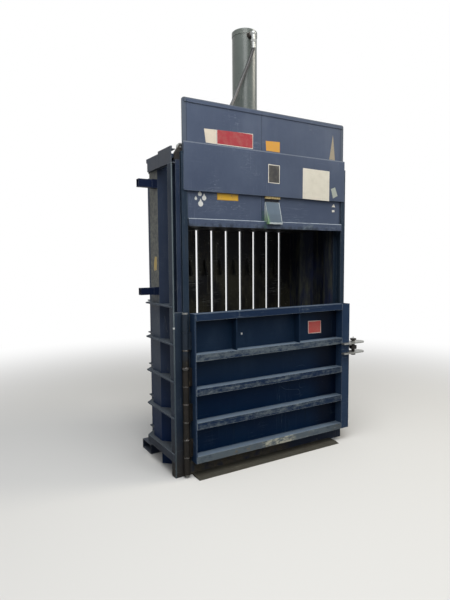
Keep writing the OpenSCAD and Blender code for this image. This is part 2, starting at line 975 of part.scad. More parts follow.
module door_knuckles() {
    strap = 12;
    color([0.33, 0.28, 0.24])
        difference() {
            union()
                for (i = [1 : 2 : knuckle_count - 1]) {
                    knuckle(i);
                    translate([hinge_x, hinge_y - strap / 2, hinge_low + i * knuckle_l + knuckle_gap / 2])
                        cube([door_left - hinge_x, strap, knuckle_l - knuckle_gap]);
                }
            knuckle_bore();
        }
}

module hinge_pin() {
    color(steel) {
        translate([hinge_x, hinge_y, hinge_low - 8])
            cylinder(h = door_top + 8 - hinge_low, d = pin_d);
        translate([hinge_x, hinge_y, door_top])
            cylinder(h = 8, d = knuckle_d - 6);
    }
}

// Gate

module gate_sheet() {
    seam_w = 3;
    color(navy)
        difference() {
            translate([0, 0, gate_bottom])
                linear_extrude(gate_h)
                    difference() {
                        translate([-gate_half, gate_y])
                            square([2 * gate_half, gate_edge]);
                        translate([-gate_half + gate_t, gate_y + gate_t])
                            square([2 * (gate_half - gate_t), gate_edge]);
                    }
            block([-seam_x - seam_w / 2, gate_y - 1, gate_bottom - 1], [-seam_x + seam_w / 2, gate_y + 1, gate_top + 1]);
            for (s = [-1, 1])
                mirror([s < 0 ? 1 : 0, 0, 0])
                    translate([gate_half - 16, gate_y - 1, gate_top - 16])
                        difference() {
                            cube([17, gate_edge + 2, 17]);
                            rotate([-90, 0, 0])
                                translate([0, 0, -1])
                                    cylinder(h = gate_edge + 4, r = 16);
                        }
        }
}

// The bar along the top of the gate, the formed lip along its lower edge and the rope's lug behind it
module gate_rails() {
    rail_h = 30;
    lug_back = 36;
    lug_z = gate_bottom + 10;
    out = gate_gap - 1;
    half = guide_in - lip_clear;
    color(navy) {
        block([-gate_half + 16, gate_y - out, gate_top - rail_h], [gate_half - 16, gate_y, gate_top]);
        block([-lug_x - lug_w, gate_y + gate_t, lug_z], [-lug_x, gate_y + lug_back, lug_z + lug_h]);
        translate([-half, gate_y, gate_bottom])
            rotate([90, 0, 90])
                linear_extrude(2 * half)
                    polygon([[0, 0], [-lip_d, 0], [-lip_d, lip_h - 6], [6 - lip_d, lip_h], [0, lip_h], [0, lip_h - 4],
                        [8 - lip_d, lip_h - 4], [4 - lip_d, lip_h - 8], [4 - lip_d, 4], [0, 4]]);
    }
}

module gate_handle() {
    z = cross_top - cross_h - 44 - handle_h;
    cheek = 4;
    inner = handle_w / 2 - cheek;
    ledge_z = cross_top - cross_h - 19;
    ledge_h = 18;
    ledge_half = handle_w / 2 + 4;
    translate([handle_x, gate_y, 0]) {
        color(navy_worn)
            difference() {
                translate([-handle_w / 2, 0, z])
                    rotate([90, 0, 90])
                        linear_extrude(handle_w)
                            polygon([[0, handle_h], [-5, handle_h], [-handle_reach, 12], [-handle_reach, 0], [0, 0]]);
                translate([-inner, 0, z])
                    rotate([90, 0, 90])
                        linear_extrude(2 * inner)
                            polygon([[1, handle_h - 8], [0, handle_h - 8], [-handle_reach + 5, 11],
                                [-handle_reach + 5, -1], [1, -1]]);
                block([-handle_w, -lip_d, gate_bottom], [handle_w, 1, gate_bottom + lip_h]);
            }
        color([0.62, 0.55, 0.42])
            block([-ledge_half, -15, ledge_z], [ledge_half, 0, ledge_z + ledge_h]);
    }
}

// Platen

module platen_face() {
    color(dark_steel)
        block([-platen_half, platen_front, platen_rest + bar_h], [platen_half, notch_y, platen_rest + face_t]);
}

module platen_bars() {
    color(dark_steel)
        for (i = [0 : slot_count])
            formed_bar([max(panel_left(i), -platen_half), platen_front, platen_rest],
                [min(panel_right(i), platen_half), notch_y, platen_rest + bar_h], bar_t, true);
}

// Teeth on the rear edge of the platen pass between the retainer dogs
module platen_teeth() {
    side = dog_t / 2 + platen_gap;
    color(dark_steel)
        for (i = [0 : slot_count - 1]) {
            left = i == 0 ? -platen_half : panel_mid(i) + side;
            right = i == slot_count - 1 ? platen_half : panel_mid(i + 1) - side;
            block([left, notch_y, platen_rest + bar_h], [right, platen_back, platen_rest + face_t]);
        }
}

module platen_beams() {
    z = platen_rest + face_t;
    l = 2 * (platen_half - 20);
    hub_d = rod_d + 90;
    color(navy)
        difference() {
            union() {
                for (y = [-beam_y, beam_y - beam_t])
                    block([-l / 2, y, z], [l / 2, y + beam_t, z + beam_h]);
                for (x = [-l / 2, -l / 4, l / 4 - beam_t, l / 2 - beam_t])
                    block([x, -beam_y + beam_t - eps, z], [x + beam_t, beam_y - beam_t + eps, z + beam_h]);
                for (x = [-l / 6, l / 6 - beam_t])
                    block([x, -beam_y + beam_t - eps, z], [x + beam_t, beam_y - beam_t + eps, z + beam_h]);
                translate([0, 0, z])
                    cylinder(h = beam_h, d = hub_d, $fn = 64);
                block([-l / 6, -beam_t / 2, z], [l / 6, beam_t / 2, z + beam_h]);
            }
            translate([0, 0, rod_low])
                cylinder(h = beam_h + 1, d = rod_d, $fn = 96);
        }
}

module platen_shoes() {
    z = platen_rest + face_t;
    out = column_x - wall_t - shoe_gap;
    y = column_y - shoe_gap - wall_t * tan(22.5);
    color([0.80, 0.78, 0.72])
        for (s = [-1, 1])
            mirror([s < 0 ? 1 : 0, 0, 0])
                translate([0, 0, z])
                    linear_extrude(beam_h - 10)
                        polygon([[platen_half - 20, -beam_y + 20], [platen_half - 6, -beam_y + 20],
                            [half_w - 2, -y - 40], [out, -y], [out, y], [half_w - 2, y + 40],
                            [platen_half - 6, beam_y - 20], [platen_half - 20, beam_y - 20]]);
}

module piston_rod() {
    color(steel) {
        translate([0, 0, rod_low])
            cylinder(h = piston_top - piston_t - rod_low, d = rod_d, $fn = 96);
        translate([0, 0, piston_top - piston_t])
            cylinder(h = piston_t, d = bore_d - 0.1, $fn = 96);
    }
}

// Door

module door_skin() {
    color(navy)
        block([door_left + stile_t, skin_front, door_bottom], [stile_in, door_back, door_top]);
}

module door_rib(z) {
    t = 5;
    translate([0, 0, z])
        difference() {
            block([door_left + stile_t, door_front, 0], [stile_in, skin_front, door_rib_h]);
            block([door_left + stile_t - 1, door_front + t, t], [stile_in + 1, skin_front + 1, door_rib_h - t]);
        }
}

module door_ribs() {
    color(navy_worn) {
        for (i = [0 : door_rib_count - 1])
            door_rib(door_rib_z(i));
        door_rib(door_top - door_rib_h);
    }
}

module door_stiles() {
    t = 6;
    color(navy) {
        block([door_left, door_front, door_bottom], [door_left + stile_t, door_back, door_top]);
        difference() {
            block([stile_in, door_front, door_bottom], [door_right, door_back, door_top]);
            block([stile_in + t, door_front + t, door_bottom - 1], [door_right - t, door_back - t, door_top + 1]);
        }
    }
}

module door_stiffeners() {
    low = door_rib_z(door_rib_count - 1) + door_rib_h;
    from_left = 363;
    from_stile = 481;
    plate = 10;
    color(navy_worn)
        for (x = [door_left + from_left, stile_in - from_stile])
            block([x, door_front + 8, low], [x + plate, skin_front, door_top - door_rib_h]);
}

// Latch

module ear_plan() {
    difference() {
        hull() {
            translate([stile_in - 4, door_front - 36])
                square([20, ear_d]);
            translate([door_right + ear_reach - ear_d / 2, door_front - 36 + ear_d / 2])
                circle(d = ear_d);
        }
        translate([stile_in - 5, door_front])
            square([door_right - stile_in + 5, ear_d]);
        translate([latch_x, latch_y])
            circle(d = latch_pin_d + 0.1);
    }
}

module latch_ears() {
    color(steel)
        for (z = [latch_low, latch_high])
            translate([0, 0, z])
                linear_extrude(ear_t)
                    ear_plan();
}

module latch_pin() {
    top = latch_high + ear_t;
    color(dark_steel) {
        translate([latch_x, latch_y, latch_low - 12])
            cylinder(h = top + 14 - latch_low + 12, d = latch_pin_d);
        translate([latch_x, latch_y, top + 14])
            cylinder(h = 15, d = 56, $fn = 6);
        translate([latch_x, latch_y, latch_low - 20])
            cylinder(h = 8, d = 44);
    }
}

module latch_hook() {
    slot = keeper_pin_d + 5;
    mouth = 6;
    color(dark_steel)
        translate([latch_x, latch_y, hook_z])
            rotate([0, 0, -hook_angle - hook_open])
                linear_extrude(hook_t)
                    difference() {
                        union() {
                            circle(d = 64);
                            translate([-16, 0])
                                square([40, hook_reach]);
                            translate([4, hook_reach])
                                circle(d = 64);
                        }
                        circle(d = latch_pin_d);
                        translate([0, hook_reach])
                            circle(d = slot);
                        translate([-60, hook_reach - slot / 2 - mouth])
                            square([60, slot + mouth]);
                    }
}

module latch_keeper() {
    plate = 10;
    low = ear_z + 2;
    high = latch_high - 2;
    color(dark_steel) {
        for (z = [low, high])
            translate([0, 0, z])
                linear_extrude(plate)
                    hull() {
                        translate([post_x, keeper_y - 24])
                            square([8, 48]);
                        translate([keeper_x, keeper_y])
                            circle(d = 40);
                    }
        translate([keeper_x, keeper_y, low + plate - eps])
            cylinder(h = high - low - plate + 2 * eps, d = keeper_pin_d);
    }
}

// Control box on the right column

box_x = column_x + 4;
box_y = -box_w / 2;
box_front = box_x + box_d;
button_z = box_z + box_h - 90;
button_y = 50;
button_gap = 0.3;
button_d = 22;
cover_t = 3;
cover_x = box_front + 0.5;
box_pin_x = box_front + 2;
box_pin_y = box_y + box_w + 6;
box_pin_d = 5;
box_knuckle_d = 10;
box_knuckle_h = 40;

module box_knuckle(z, h) {
    translate([box_pin_x, box_pin_y, z])
        cylinder(h = h, d = box_knuckle_d);
}

module control_box() {
    wall = 3;
    color([0.45, 0.46, 0.46])
        difference() {
            union() {
                block([box_x, box_y, box_z], [box_front, box_y + box_w, box_z + box_h]);
                for (z = [box_z + 40, box_z + box_h - 80])
                    block([column_x, -30, z], [box_x + eps, 30, z + 40]);
                for (z = [box_z, box_z + box_h - box_knuckle_h]) {
                    box_knuckle(z, box_knuckle_h);
                    block([box_front - 12, box_y + box_w - eps, z], [box_pin_x, box_pin_y, z + box_knuckle_h]);
                }
            }
            block([box_x + wall, box_y + wall, box_z + wall],
                [box_front + 1, box_y + box_w - wall, box_z + box_h - wall]);
            translate([box_pin_x, box_pin_y, box_z - 1])
                cylinder(h = box_h + 2, d = box_pin_d + 0.1);
        }
}

module control_cover() {
    low = box_z + box_knuckle_h + 1;
    high = box_z + box_h - box_knuckle_h - 1;
    edge = box_y + box_w - 1;
    color([0.45, 0.46, 0.46])
        difference() {
            union() {
                block([cover_x, box_y, box_z], [cover_x + cover_t, edge, box_z + box_h]);
                block([cover_x, edge - eps, low], [cover_x + cover_t, box_pin_y, high]);
                box_knuckle(low, high - low);
                translate([box_pin_x, box_pin_y, box_z])
                    cylinder(h = box_h, d = box_pin_d);
            }
            for (y = [-button_y, button_y])
                translate([cover_x - 1, y, button_z])
                    rotate([0, 90, 0])
                        cylinder(h = cover_t + 2, d = button_d + 2 * button_gap);
        }
}

// A push button with its stem through the cover and its cap in front
module push_button(y, cap_d, cap_h) {
    stem = 17;
    translate([cover_x - 8, y, button_z])
        rotate([0, 90, 0]) {
            cylinder(h = stem, d = button_d);
            translate([0, 0, stem - eps])
                cylinder(h = cap_h, d = cap_d);
        }
}

module start_button() {
    color([0.10, 0.45, 0.20])
        push_button(-button_y, 28, 4);
}

module stop_button() {
    color([0.65, 0.08, 0.07])
        push_button(button_y, 40, 12);
}

base_sills();
base_joists();
rear_foot();
floor_plate();
floor_bars();
floor_sill();
left_side_wall();
right_side_wall();
side_ribs();
rear_wall_channels();
rear_wall_ribs();
retainer_dogs();
left_gate_guide();
right_gate_guide();
hinge_post();
hinge_post_web();
hinge_backing_plate();
rope_guard_tube();
pulley_bracket();
gate_cross_plate();
top_rails();
crosshead_beams();
crosshead_deck();
cylinder_barrel();
cylinder_cap();
cylinder_gland();
cylinder_flange();
flange_bolts();
hose_elbows();
hoses();
oil_tank();
motor_pump();
valve_block();
side_brackets();
frame_knuckles();
hinge_pin();
latch_keeper();
control_box();
gate_sheet();
gate_rails();
gate_handle();
platen_face();
platen_bars();
platen_teeth();
platen_beams();
platen_shoes();
piston_rod();
door_skin();
door_ribs();
door_stiles();
door_stiffeners();
door_knuckles();
latch_ears();
latch_pin();
latch_hook();
counterweight();
rope_pulley();
control_cover();
start_button();
stop_button();
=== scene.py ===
"""Looks of the upright baler: its finishes, small pieces, camera and light."""
import logging
import math
from collections.abc import Mapping, Sequence
from dataclasses import dataclass, field
from enum import Enum
from typing import ClassVar

import bmesh
import bpy
from mathutils import Matrix, Vector


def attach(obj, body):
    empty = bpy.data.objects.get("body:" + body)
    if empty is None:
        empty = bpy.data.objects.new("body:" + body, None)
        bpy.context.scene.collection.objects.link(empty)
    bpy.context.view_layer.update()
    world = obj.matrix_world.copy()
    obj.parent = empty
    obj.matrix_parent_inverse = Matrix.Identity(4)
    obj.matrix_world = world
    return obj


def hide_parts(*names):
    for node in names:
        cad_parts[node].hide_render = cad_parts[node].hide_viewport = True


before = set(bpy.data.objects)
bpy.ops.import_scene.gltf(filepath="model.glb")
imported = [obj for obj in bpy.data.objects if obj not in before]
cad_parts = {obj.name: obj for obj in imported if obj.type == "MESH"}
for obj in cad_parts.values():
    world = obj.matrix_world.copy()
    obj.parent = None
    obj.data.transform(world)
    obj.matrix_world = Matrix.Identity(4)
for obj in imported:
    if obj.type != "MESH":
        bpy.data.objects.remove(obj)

log = logging.getLogger("baler")

Point = tuple[float, float, float]
Route = tuple[Point, ...]
Profile = Sequence[tuple[float, float]]
Colour = tuple[float, float, float, float]
Coats = Mapping[str, tuple[str, ...]]
Piece = bpy.types.Object
Socket = bpy.types.NodeSocket

ANYWHERE = 9.0  # beyond every place of the machine, for the sides of a mask that don't matter
SIDES = (-1.0, 1.0)
WHITE: Colour = (1.0, 1.0, 1.0, 1.0)
UP: Point = (0.0, 0.0, 1.0)
DOWN: Point = (0.0, 0.0, -1.0)
RIGHT: Point = (1.0, 0.0, 0.0)
LEFT: Point = (-1.0, 0.0, 0.0)
BACK: Point = (0.0, 1.0, 0.0)
ZERO: Point = (0.0, 0.0, 0.0)
EVEN: Point = (1.0, 1.0, 1.0)


def shade(red: float, green: float, blue: float) -> Colour:
    """Turns a display colour into the linear colour that shaders take.

    Args:
        red: Red from 0 to 255.
        green: Green from 0 to 255.
        blue: Blue from 0 to 255.

    Returns:
        The linear colour with full alpha.
    """
    def linear(c: float) -> float:
        """Undoes the display curve of one channel."""
        c /= 255.0
        return c / 12.92 if c <= 0.04045 else ((c + 0.055) / 1.055) ** 2.4

    return (linear(red), linear(green), linear(blue), 1.0)


class Axis(Enum):
    """The axes of the shared frame."""

    X = 0
    Y = 1
    Z = 2


# Shader recipes


class Value:
    """A number that varies over a surface, with its Math nodes written as operators."""

    def __init__(self, graph: "Graph", socket: Socket) -> None:
        """Keeps the socket that carries the number.

        Args:
            graph: The graph that it belongs to.
            socket: The socket.
        """
        self.graph = graph
        self.socket = socket

    def _math(self, operation: str, *operands: "Value | float") -> "Value":
        """Adds one Math node.

        Args:
            operation: The node's operation.
            operands: The numbers or values that it takes.

        Returns:
            The node's result.
        """
        return self.graph.value("ShaderNodeMath", {"operation": operation}, dict(enumerate(operands)))

    def __add__(self, other: "Value | float") -> "Value":
        """Sum."""
        return self._math("ADD", self, other)

    def __radd__(self, other: float) -> "Value":
        """Sum with a number on the left."""
        return self._math("ADD", other, self)

    def __sub__(self, other: "Value | float") -> "Value":
        """Difference."""
        return self._math("SUBTRACT", self, other)

    def __rsub__(self, other: float) -> "Value":
        """Difference with a number on the left."""
        return self._math("SUBTRACT", other, self)

    def __mul__(self, other: "Value | float") -> "Value":
        """Product."""
        return self._math("MULTIPLY", self, other)

    def __rmul__(self, other: float) -> "Value":
        """Product with a number on the left."""
        return self._math("MULTIPLY", other, self)

    def __abs__(self) -> "Value":
        """Distance from zero."""
        return self._math("ABSOLUTE", self)

    def __or__(self, other: "Value | float") -> "Value":
        """The larger of two masks."""
        return self._math("MAXIMUM", self, other)

    def step(self, low: float, high: float) -> "Value":
        """Rises smoothly from 0 at low to 1 at high, or falls where low is above high.

        Args:
            low: Where the result is 0.
            high: Where the result is 1.

        Returns:
            The mask.
        """
        settings = {"interpolation_type": "SMOOTHSTEP", "clamp": True}
        inputs = {"Value": self, "From Min": low, "From Max": high}
        return self.graph.value("ShaderNodeMapRange", settings, inputs)


class Graph:
    """Adds nodes to one node tree."""

    def __init__(self, tree: bpy.types.NodeTree) -> None:
        """Empties the tree.

        Args:
            tree: The tree of a material or a world.
        """
        self.tree = tree
        tree.nodes.clear()

    def feed(self, node: bpy.types.Node, inputs: Mapping) -> None:
        """Sets or links a node's sockets.

        Args:
            node: The node.
            inputs: What its sockets take: numbers, tuples, sockets or values.
        """
        for key, given in inputs.items():
            if isinstance(given, Value):
                given = given.socket
            if isinstance(given, Socket):
                self.tree.links.new(given, node.inputs[key])
            else:
                node.inputs[key].default_value = given

    def node(self, kind: str, settings: Mapping | None = None,
             inputs: Mapping | None = None) -> bpy.types.Node:
        """Adds one node.

        Args:
            kind: The node's type.
            settings: Its settings, set first.
            inputs: What its sockets take.

        Returns:
            The node.
        """
        made = self.tree.nodes.new(kind)
        for key, setting in (settings or {}).items():
            setattr(made, key, setting)
        self.feed(made, inputs or {})
        return made

    def value(self, kind: str, settings: Mapping | None = None, inputs: Mapping | None = None,
              output: str | int = 0) -> Value:
        """Adds one node and takes one of its outputs as a value.

        Args:
            kind: The node's type.
            settings: Its settings.
            inputs: What its sockets take.
            output: The output's name or number.

        Returns:
            The output's value.
        """
        return Value(self, self.node(kind, settings, inputs).outputs[output])

    def parts(self, vector: Socket) -> tuple[Value, ...]:
        """Takes a vector apart.

        Args:
            vector: The vector's socket.

        Returns:
            Its X, Y and Z.
        """
        outputs = self.node("ShaderNodeSeparateXYZ", None, {0: vector}).outputs
        return tuple(Value(self, output) for output in outputs)

    def seen(self) -> Value:
        """Makes a mask of what shows: to the camera, in a mirror and through glass."""
        paths = self.node("ShaderNodeLightPath").outputs
        rays = ("Camera", "Glossy", "Transmission")
        camera, mirror, glass = (Value(self, paths[f"Is {ray} Ray"]) for ray in rays)
        return camera | mirror | glass


class Recipe(Graph):
    """Builds one material. Its colour is laid over itself step by step."""

    def __init__(self, name: str) -> None:
        """Starts a material with its shader and its place sockets.

        Args:
            name: The material's name.
        """
        self.material = bpy.data.materials.new(name)
        self.material.use_nodes = True
        super().__init__(self.material.node_tree)
        self.colour: Socket | Colour = WHITE
        self.shader = self.node("ShaderNodeBsdfPrincipled")
        self.output = self.node("ShaderNodeOutputMaterial", None, {"Surface": self.shader.outputs[0]})
        self.place = self.node("ShaderNodeTexCoord").outputs["Object"]
        self.x, self.y, self.z = self.parts(self.place)
        self.surface = self.node("ShaderNodeNewGeometry").outputs["Normal"]
        self.facing_x, self.facing_y, self.facing_z = self.parts(self.surface)

    def noise(self, scale: float, detail: float = 3.0, rough: float = 0.55,
              stretch: Point = EVEN, turn: Point = ZERO, shift: Point = ZERO,
              swirl: float = 0.0) -> Value:
        """A cloudy pattern from 0 to 1.

        Args:
            scale: Features per metre.
            detail: How many finer layers lie on it.
            rough: Strength of the finer layers.
            stretch: Scale along each axis.
            turn: Angles about each axis in degrees.
            shift: Offset along each axis.
            swirl: How much the pattern is distorted.

        Returns:
            The pattern.
        """
        turned = tuple(math.radians(a) for a in turn)
        inputs = {"Vector": self.place, "Location": shift, "Rotation": turned, "Scale": stretch}
        where = self.node("ShaderNodeMapping", None, inputs).outputs[0]
        inputs = {"Vector": where, "Scale": scale, "Detail": detail, "Roughness": rough,
                  "Distortion": swirl}
        return self.value("ShaderNodeTexNoise", None, inputs)

    def scratches(self, length: float, count: float, thin: float, turn: Point, seed: float) -> Value:
        """Thin scratches that run roughly one way.

        Args:
            length: Pattern scale along the scratches, small for long ones.
            count: Pattern scale across them.
            thin: Width of a line in the pattern's own values.
            turn: Angles about each axis in degrees.
            seed: Offset that gives another set of lines.

        Returns:
            The mask.
        """
        lines = self.noise(1.0, 2.0, 0.5, (length, count, count), turn, (seed, seed, 0.0), 0.4)
        patches = self.noise(3.5, 2.0, 0.6, shift=(seed, 0.0, 0.0))
        return abs(lines - 0.5).step(thin, 0.0) * patches.step(0.53, 0.68)

    def chips(self, size: float, share: float, seed: float) -> Value:
        """Small irregular spots.

        Args:
            size: Spots per metre.
            share: How much of the surface they take, from 0 to 1.
            seed: Offset that gives another set.

        Returns:
            The mask.
        """
        edge = 0.74 - 0.26 * share
        return self.noise(size, 4.0, 0.7, shift=(seed, seed, seed)).step(edge, edge + 0.03)

    def edges(self, reach: float) -> Value:
        """How close an edge of the solid is.

        Args:
            reach: Width of the band along the edge in metres.

        Returns:
            1 on an edge and 0 away from it.
        """
        soft = self.node("ShaderNodeBevel", {"samples": 4}, {"Radius": reach}).outputs[0]
        turn = self.value("ShaderNodeVectorMath", {"operation": "DOT_PRODUCT"},
                          {0: soft, 1: self.surface}, "Value")
        return (1.0 - turn).step(0.01, 0.22)

    def within(self, low: Point, high: Point, soft: float) -> Value:
        """A box with soft sides. A side longer than ANYWHERE isn't tested.

        Args:
            low: Its lowest corner.
            high: Its highest corner.
            soft: Width of its soft sides.

        Returns:
            1 inside and 0 outside.
        """
        mask = None
        for at, a, b in zip((self.x, self.y, self.z), low, high):
            if b - a > ANYWHERE:
                continue
            one = at.step(a - soft, a) * at.step(b + soft, b)
            mask = one if mask is None else mask * one
        return mask

    def blend(self, mask: Value | float, under: Socket | Colour, over: Socket | Colour) -> Socket:
        """Lays one colour over another.

        Args:
            mask: Where the upper colour shows.
            under: The lower colour.
            over: The upper colour.

        Returns:
            The colour socket.
        """
        settings = {"data_type": "RGBA", "clamp_factor": True}
        return self.node("ShaderNodeMix", settings, {0: mask, 6: under, 7: over}).outputs[2]

    def over(self, mask: Value | float, colour: Socket | Colour) -> None:
        """Lays a colour over the colour so far.

        Args:
            mask: Where it shows.
            colour: The colour.
        """
        self.colour = self.blend(mask, self.colour, colour)

    def finish(self, rough: Value | float, height: Value | None = None, depth: float = 0.001,
               metal: Value | float = 0.0, coat: Value | float = 0.0,
               specular: float = 0.5) -> bpy.types.Material:
        """Connects the shader.

        Args:
            rough: The roughness.
            height: The relief from 0 to 1, if there is any.
            depth: Depth of the relief in metres.
            metal: How metallic it is.
            coat: Weight of the clear coat.
            specular: Strength of the reflections of what isn't metal.

        Returns:
            The finished material.
        """
        self.feed(self.shader, {"Base Color": self.colour, "Roughness": rough, "Metallic": metal,
                                "Coat Weight": coat, "Specular IOR Level": specular})
        if height is not None:
            relief = {"Strength": 0.6, "Distance": depth, "Height": height}
            bump = self.node("ShaderNodeBump", None, relief)
            self.feed(self.shader, {"Normal": bump.outputs[0]})
        return self.material


# Finishes


@dataclass(frozen=True)
class Paint:
    """Old machine paint on steel, with dust, runs of dirt and worn edges."""

    name: str
    base: Colour
    faded: Colour
    worn: Colour
    dirt: Colour = shade(52, 48, 42)
    dust: Colour = shade(120, 124, 130)
    edge_reach: float = 0.006
    edge_share: float = 0.6
    dirt_share: float = 0.3
    dust_share: float = 0.35
    scratch_share: float = 0.5
    chip_share: float = 0.1
    foot_dirt: float = 0.0
    roughness: float = 0.5
    metal_wear: float = 0.3
    specular: float = 0.1

    def layers(self, r: Recipe) -> tuple[Value, Value, Value]:
        """Lays the paint, fading, dirt, dust and wear over each other.

        Args:
            r: The recipe to add to.

        Returns:
            The roughness, the relief and the metal mask.
        """
        cloud = r.noise(2.2, 4.0, 0.6)
        fine = r.noise(38.0, 4.0, 0.65)
        grain = r.noise(260.0, 2.0, 0.6)
        runs = r.noise(1.0, 4.0, 0.6, (26.0, 26.0, 1.6))
        edge = r.edges(self.edge_reach)
        wear_pattern = r.noise(70.0, 4.0, 0.7, shift=(3.0, 1.0, 2.0))
        wear = (edge * 1.1 + wear_pattern * 0.9 - 0.75).step(0.25, 0.75) * self.edge_share
        chips = r.chips(34.0, self.chip_share, 5.0)
        upright = r.scratches(70.0, 2.2, 0.010, (8.0, 0.0, 25.0), 7.0)
        marks = (r.scratches(1.6, 75.0, 0.012, (0.0, 12.0, 0.0), 2.0) | upright) * self.scratch_share
        dirt = runs.step(0.5, 0.8) * cloud.step(0.35, 0.7) + fine.step(0.6, 0.85) * 0.4
        dirt = dirt * self.dirt_share
        if self.foot_dirt > 0.0:
            foot = (r.z + cloud * 0.35 - 0.17).step(0.42, 0.05)
            dirt = dirt | foot * self.foot_dirt
        upward = r.facing_z.step(0.35, 0.85)
        dust = upward * (0.35 + fine * 0.75) * self.dust_share
        r.colour = r.blend(cloud.step(0.3, 0.75) * 0.8 + fine * 0.2, self.base, self.faded)
        r.over(dirt, self.dirt)
        r.over(marks | chips * 0.6, self.worn)
        r.over(wear, self.worn)
        r.over(dust, self.dust)
        rough = self.roughness + (fine - 0.5) * 0.22 + dirt * 0.3 + dust * 0.3 - wear * 0.12
        relief = fine * 0.25 + grain * 0.2 + (1.0 - (wear | chips | marks)) * 0.4
        return rough, relief, wear * self.metal_wear

    def local(self, r: Recipe, rough: Value) -> Value:
        """Adds what only this finish has.

        Args:
            r: The recipe to add to.
            rough: The roughness so far.

        Returns:
            The roughness.
        """
        return rough

    def make(self) -> bpy.types.Material:
        """Builds the material."""
        r = Recipe(self.name)
        rough, relief, metal = self.layers(r)
        return r.finish(self.local(r, rough), relief, depth=0.0006, metal=metal, specular=self.specular)


class GatePaint(Paint):
    """The gate's and the cross plate's paint, with scuffs, smears and a rubbed lip."""

    def local(self, r: Recipe, rough: Value) -> Value:
        """Adds the grey edge strip, the worn plate top, the rubbed lip, the seam and the scuffs, with a
        painted highlight along the lip's top edge and painted shade beside the guides, under the
        handle's ledge and over the right side.
        """
        patch = r.noise(55.0, 3.0, 0.7)
        sheet = r.y.step(-0.392, -0.388)
        strip = abs(r.x).step(0.757, 0.762) * sheet * (0.3 + patch * 0.7)
        r.over(strip * 0.7, shade(84, 90, 94))
        # Painted shadow: a dark line on the sheet beside each guide's front flange, where the flange
        # shades it.
        painted_shadow_line = r.within((0.7535, -0.39, 1.95), (0.7575, -0.36, 2.79), 0.001) | (
            r.within((-0.7575, -0.39, 1.95), (-0.7535, -0.36, 2.79), 0.001))
        r.over(painted_shadow_line * 0.75, shade(30, 38, 52))
        worn_top = r.within((-ANYWHERE, -0.41, 2.4865), (ANYWHERE, -0.39, 2.60), 0.0015)
        r.over(worn_top * (0.35 + patch * 0.6), shade(128, 136, 148))
        hem = r.z.step(2.795, 2.800) * (0.2 + patch * 0.8)
        r.over(hem * 0.6, shade(96, 102, 106))
        # Painted highlight: a broken pale line along the top edge of the gate's lip, where it would
        # catch the light.
        line = r.within((-ANYWHERE, -0.41, 1.9385), (ANYWHERE, -0.40, 1.9435), 0.001)
        broken = r.noise(9.0, 4.0, 0.7, (1.0, 1.0, 0.1))
        r.over(line * broken.step(0.34, 0.46) * 0.7, shade(146, 156, 164))
        lip = r.within((-ANYWHERE, -0.41, 1.88), (ANYWHERE, -0.384, 1.936), 0.003)
        rub = r.noise(16.0, 5.0, 0.75, (0.5, 1.0, 1.4), shift=(3.0, 0.0, 1.0)).step(0.5, 0.68)
        r.over(lip * rub * 0.6, shade(112, 124, 130))
        low = r.z.step(1.925, 1.887) * r.noise(14.0, 4.0, 0.75, (1.0, 1.0, 0.6)).step(0.46, 0.62)
        r.over(low * 0.75, shade(20, 24, 28))
        # Painted shadow: near black on the sheet in the gap under the handle's tan ledge.
        painted_ledge_shadow = r.within((-0.062, -0.40, 2.094), (0.078, -0.36, 2.1235), 0.003)
        r.over(painted_ledge_shadow * 0.92, shade(8, 7, 8))
        green = r.within((-0.082, -0.41, 1.88), (-0.058, -0.36, 2.02), 0.012) * patch.step(0.35, 0.6)
        r.over(green * 0.6, shade(34, 66, 44))
        seam = r.within((-0.0930, -0.39, 1.945), (-0.0890, -0.36, 2.794), 0.0014)
        r.over(seam * 0.8, shade(24, 33, 50))
        scuffs = r.scratches(9.0, 42.0, 0.02, (0.0, 40.0, 0.0), 11.0)
        r.over(scuffs * 0.4, shade(122, 132, 146))
        smear = r.noise(5.0, 3.0, 0.5, (1.0, 1.0, 0.35), shift=(4.0, 0.0, 0.0)).step(0.52, 0.74)
        r.over(smear * 0.22, shade(100, 110, 126))
        # Painted shade: the right side of the gate is painted darker in cloudy patches.
        painted_shade_right = r.noise(1.3, 2.0, 0.5, shift=(0.0, 0.0, 7.0)).step(0.45, 0.7) * r.x.step(-0.2, 0.6)
        r.over(painted_shade_right * 0.28, shade(44, 54, 70))
        return rough + smear * 0.1


class HandlePaint(Paint):
    """The handle: rubbed pale on its edges, green on its left, with a tan ledge above."""

    def local(self, r: Recipe, rough: Value) -> Value:
        """Adds the darker lower half, bright rim, green streak and tan ledge."""
        patch = r.noise(60.0, 4.0, 0.7)
        z = r.z
        lower = z.step(2.01, 1.99) * (0.6 + patch * 0.4)
        r.over(lower * 0.6, shade(62, 76, 88))
        rim = r.within((-ANYWHERE, -0.44, 1.915), (ANYWHERE, -0.425, 1.932), 0.002) | (
            r.x.step(0.0735, 0.0765)) | r.x.step(-0.0565, -0.0595)
        r.over(rim * patch.step(0.25, 0.45) * 0.85, shade(176, 184, 186))
        green = r.x.step(-0.032, -0.056) * z.step(2.05, 1.93) * patch.step(0.3, 0.55)
        r.over(green * 0.85, shade(96, 132, 84))
        ledge = z.step(2.118, 2.121)
        tan = r.blend(patch.step(0.4, 0.6), shade(126, 108, 70), shade(186, 168, 120))
        r.over(ledge, tan)
        return rough + ledge * 0.2


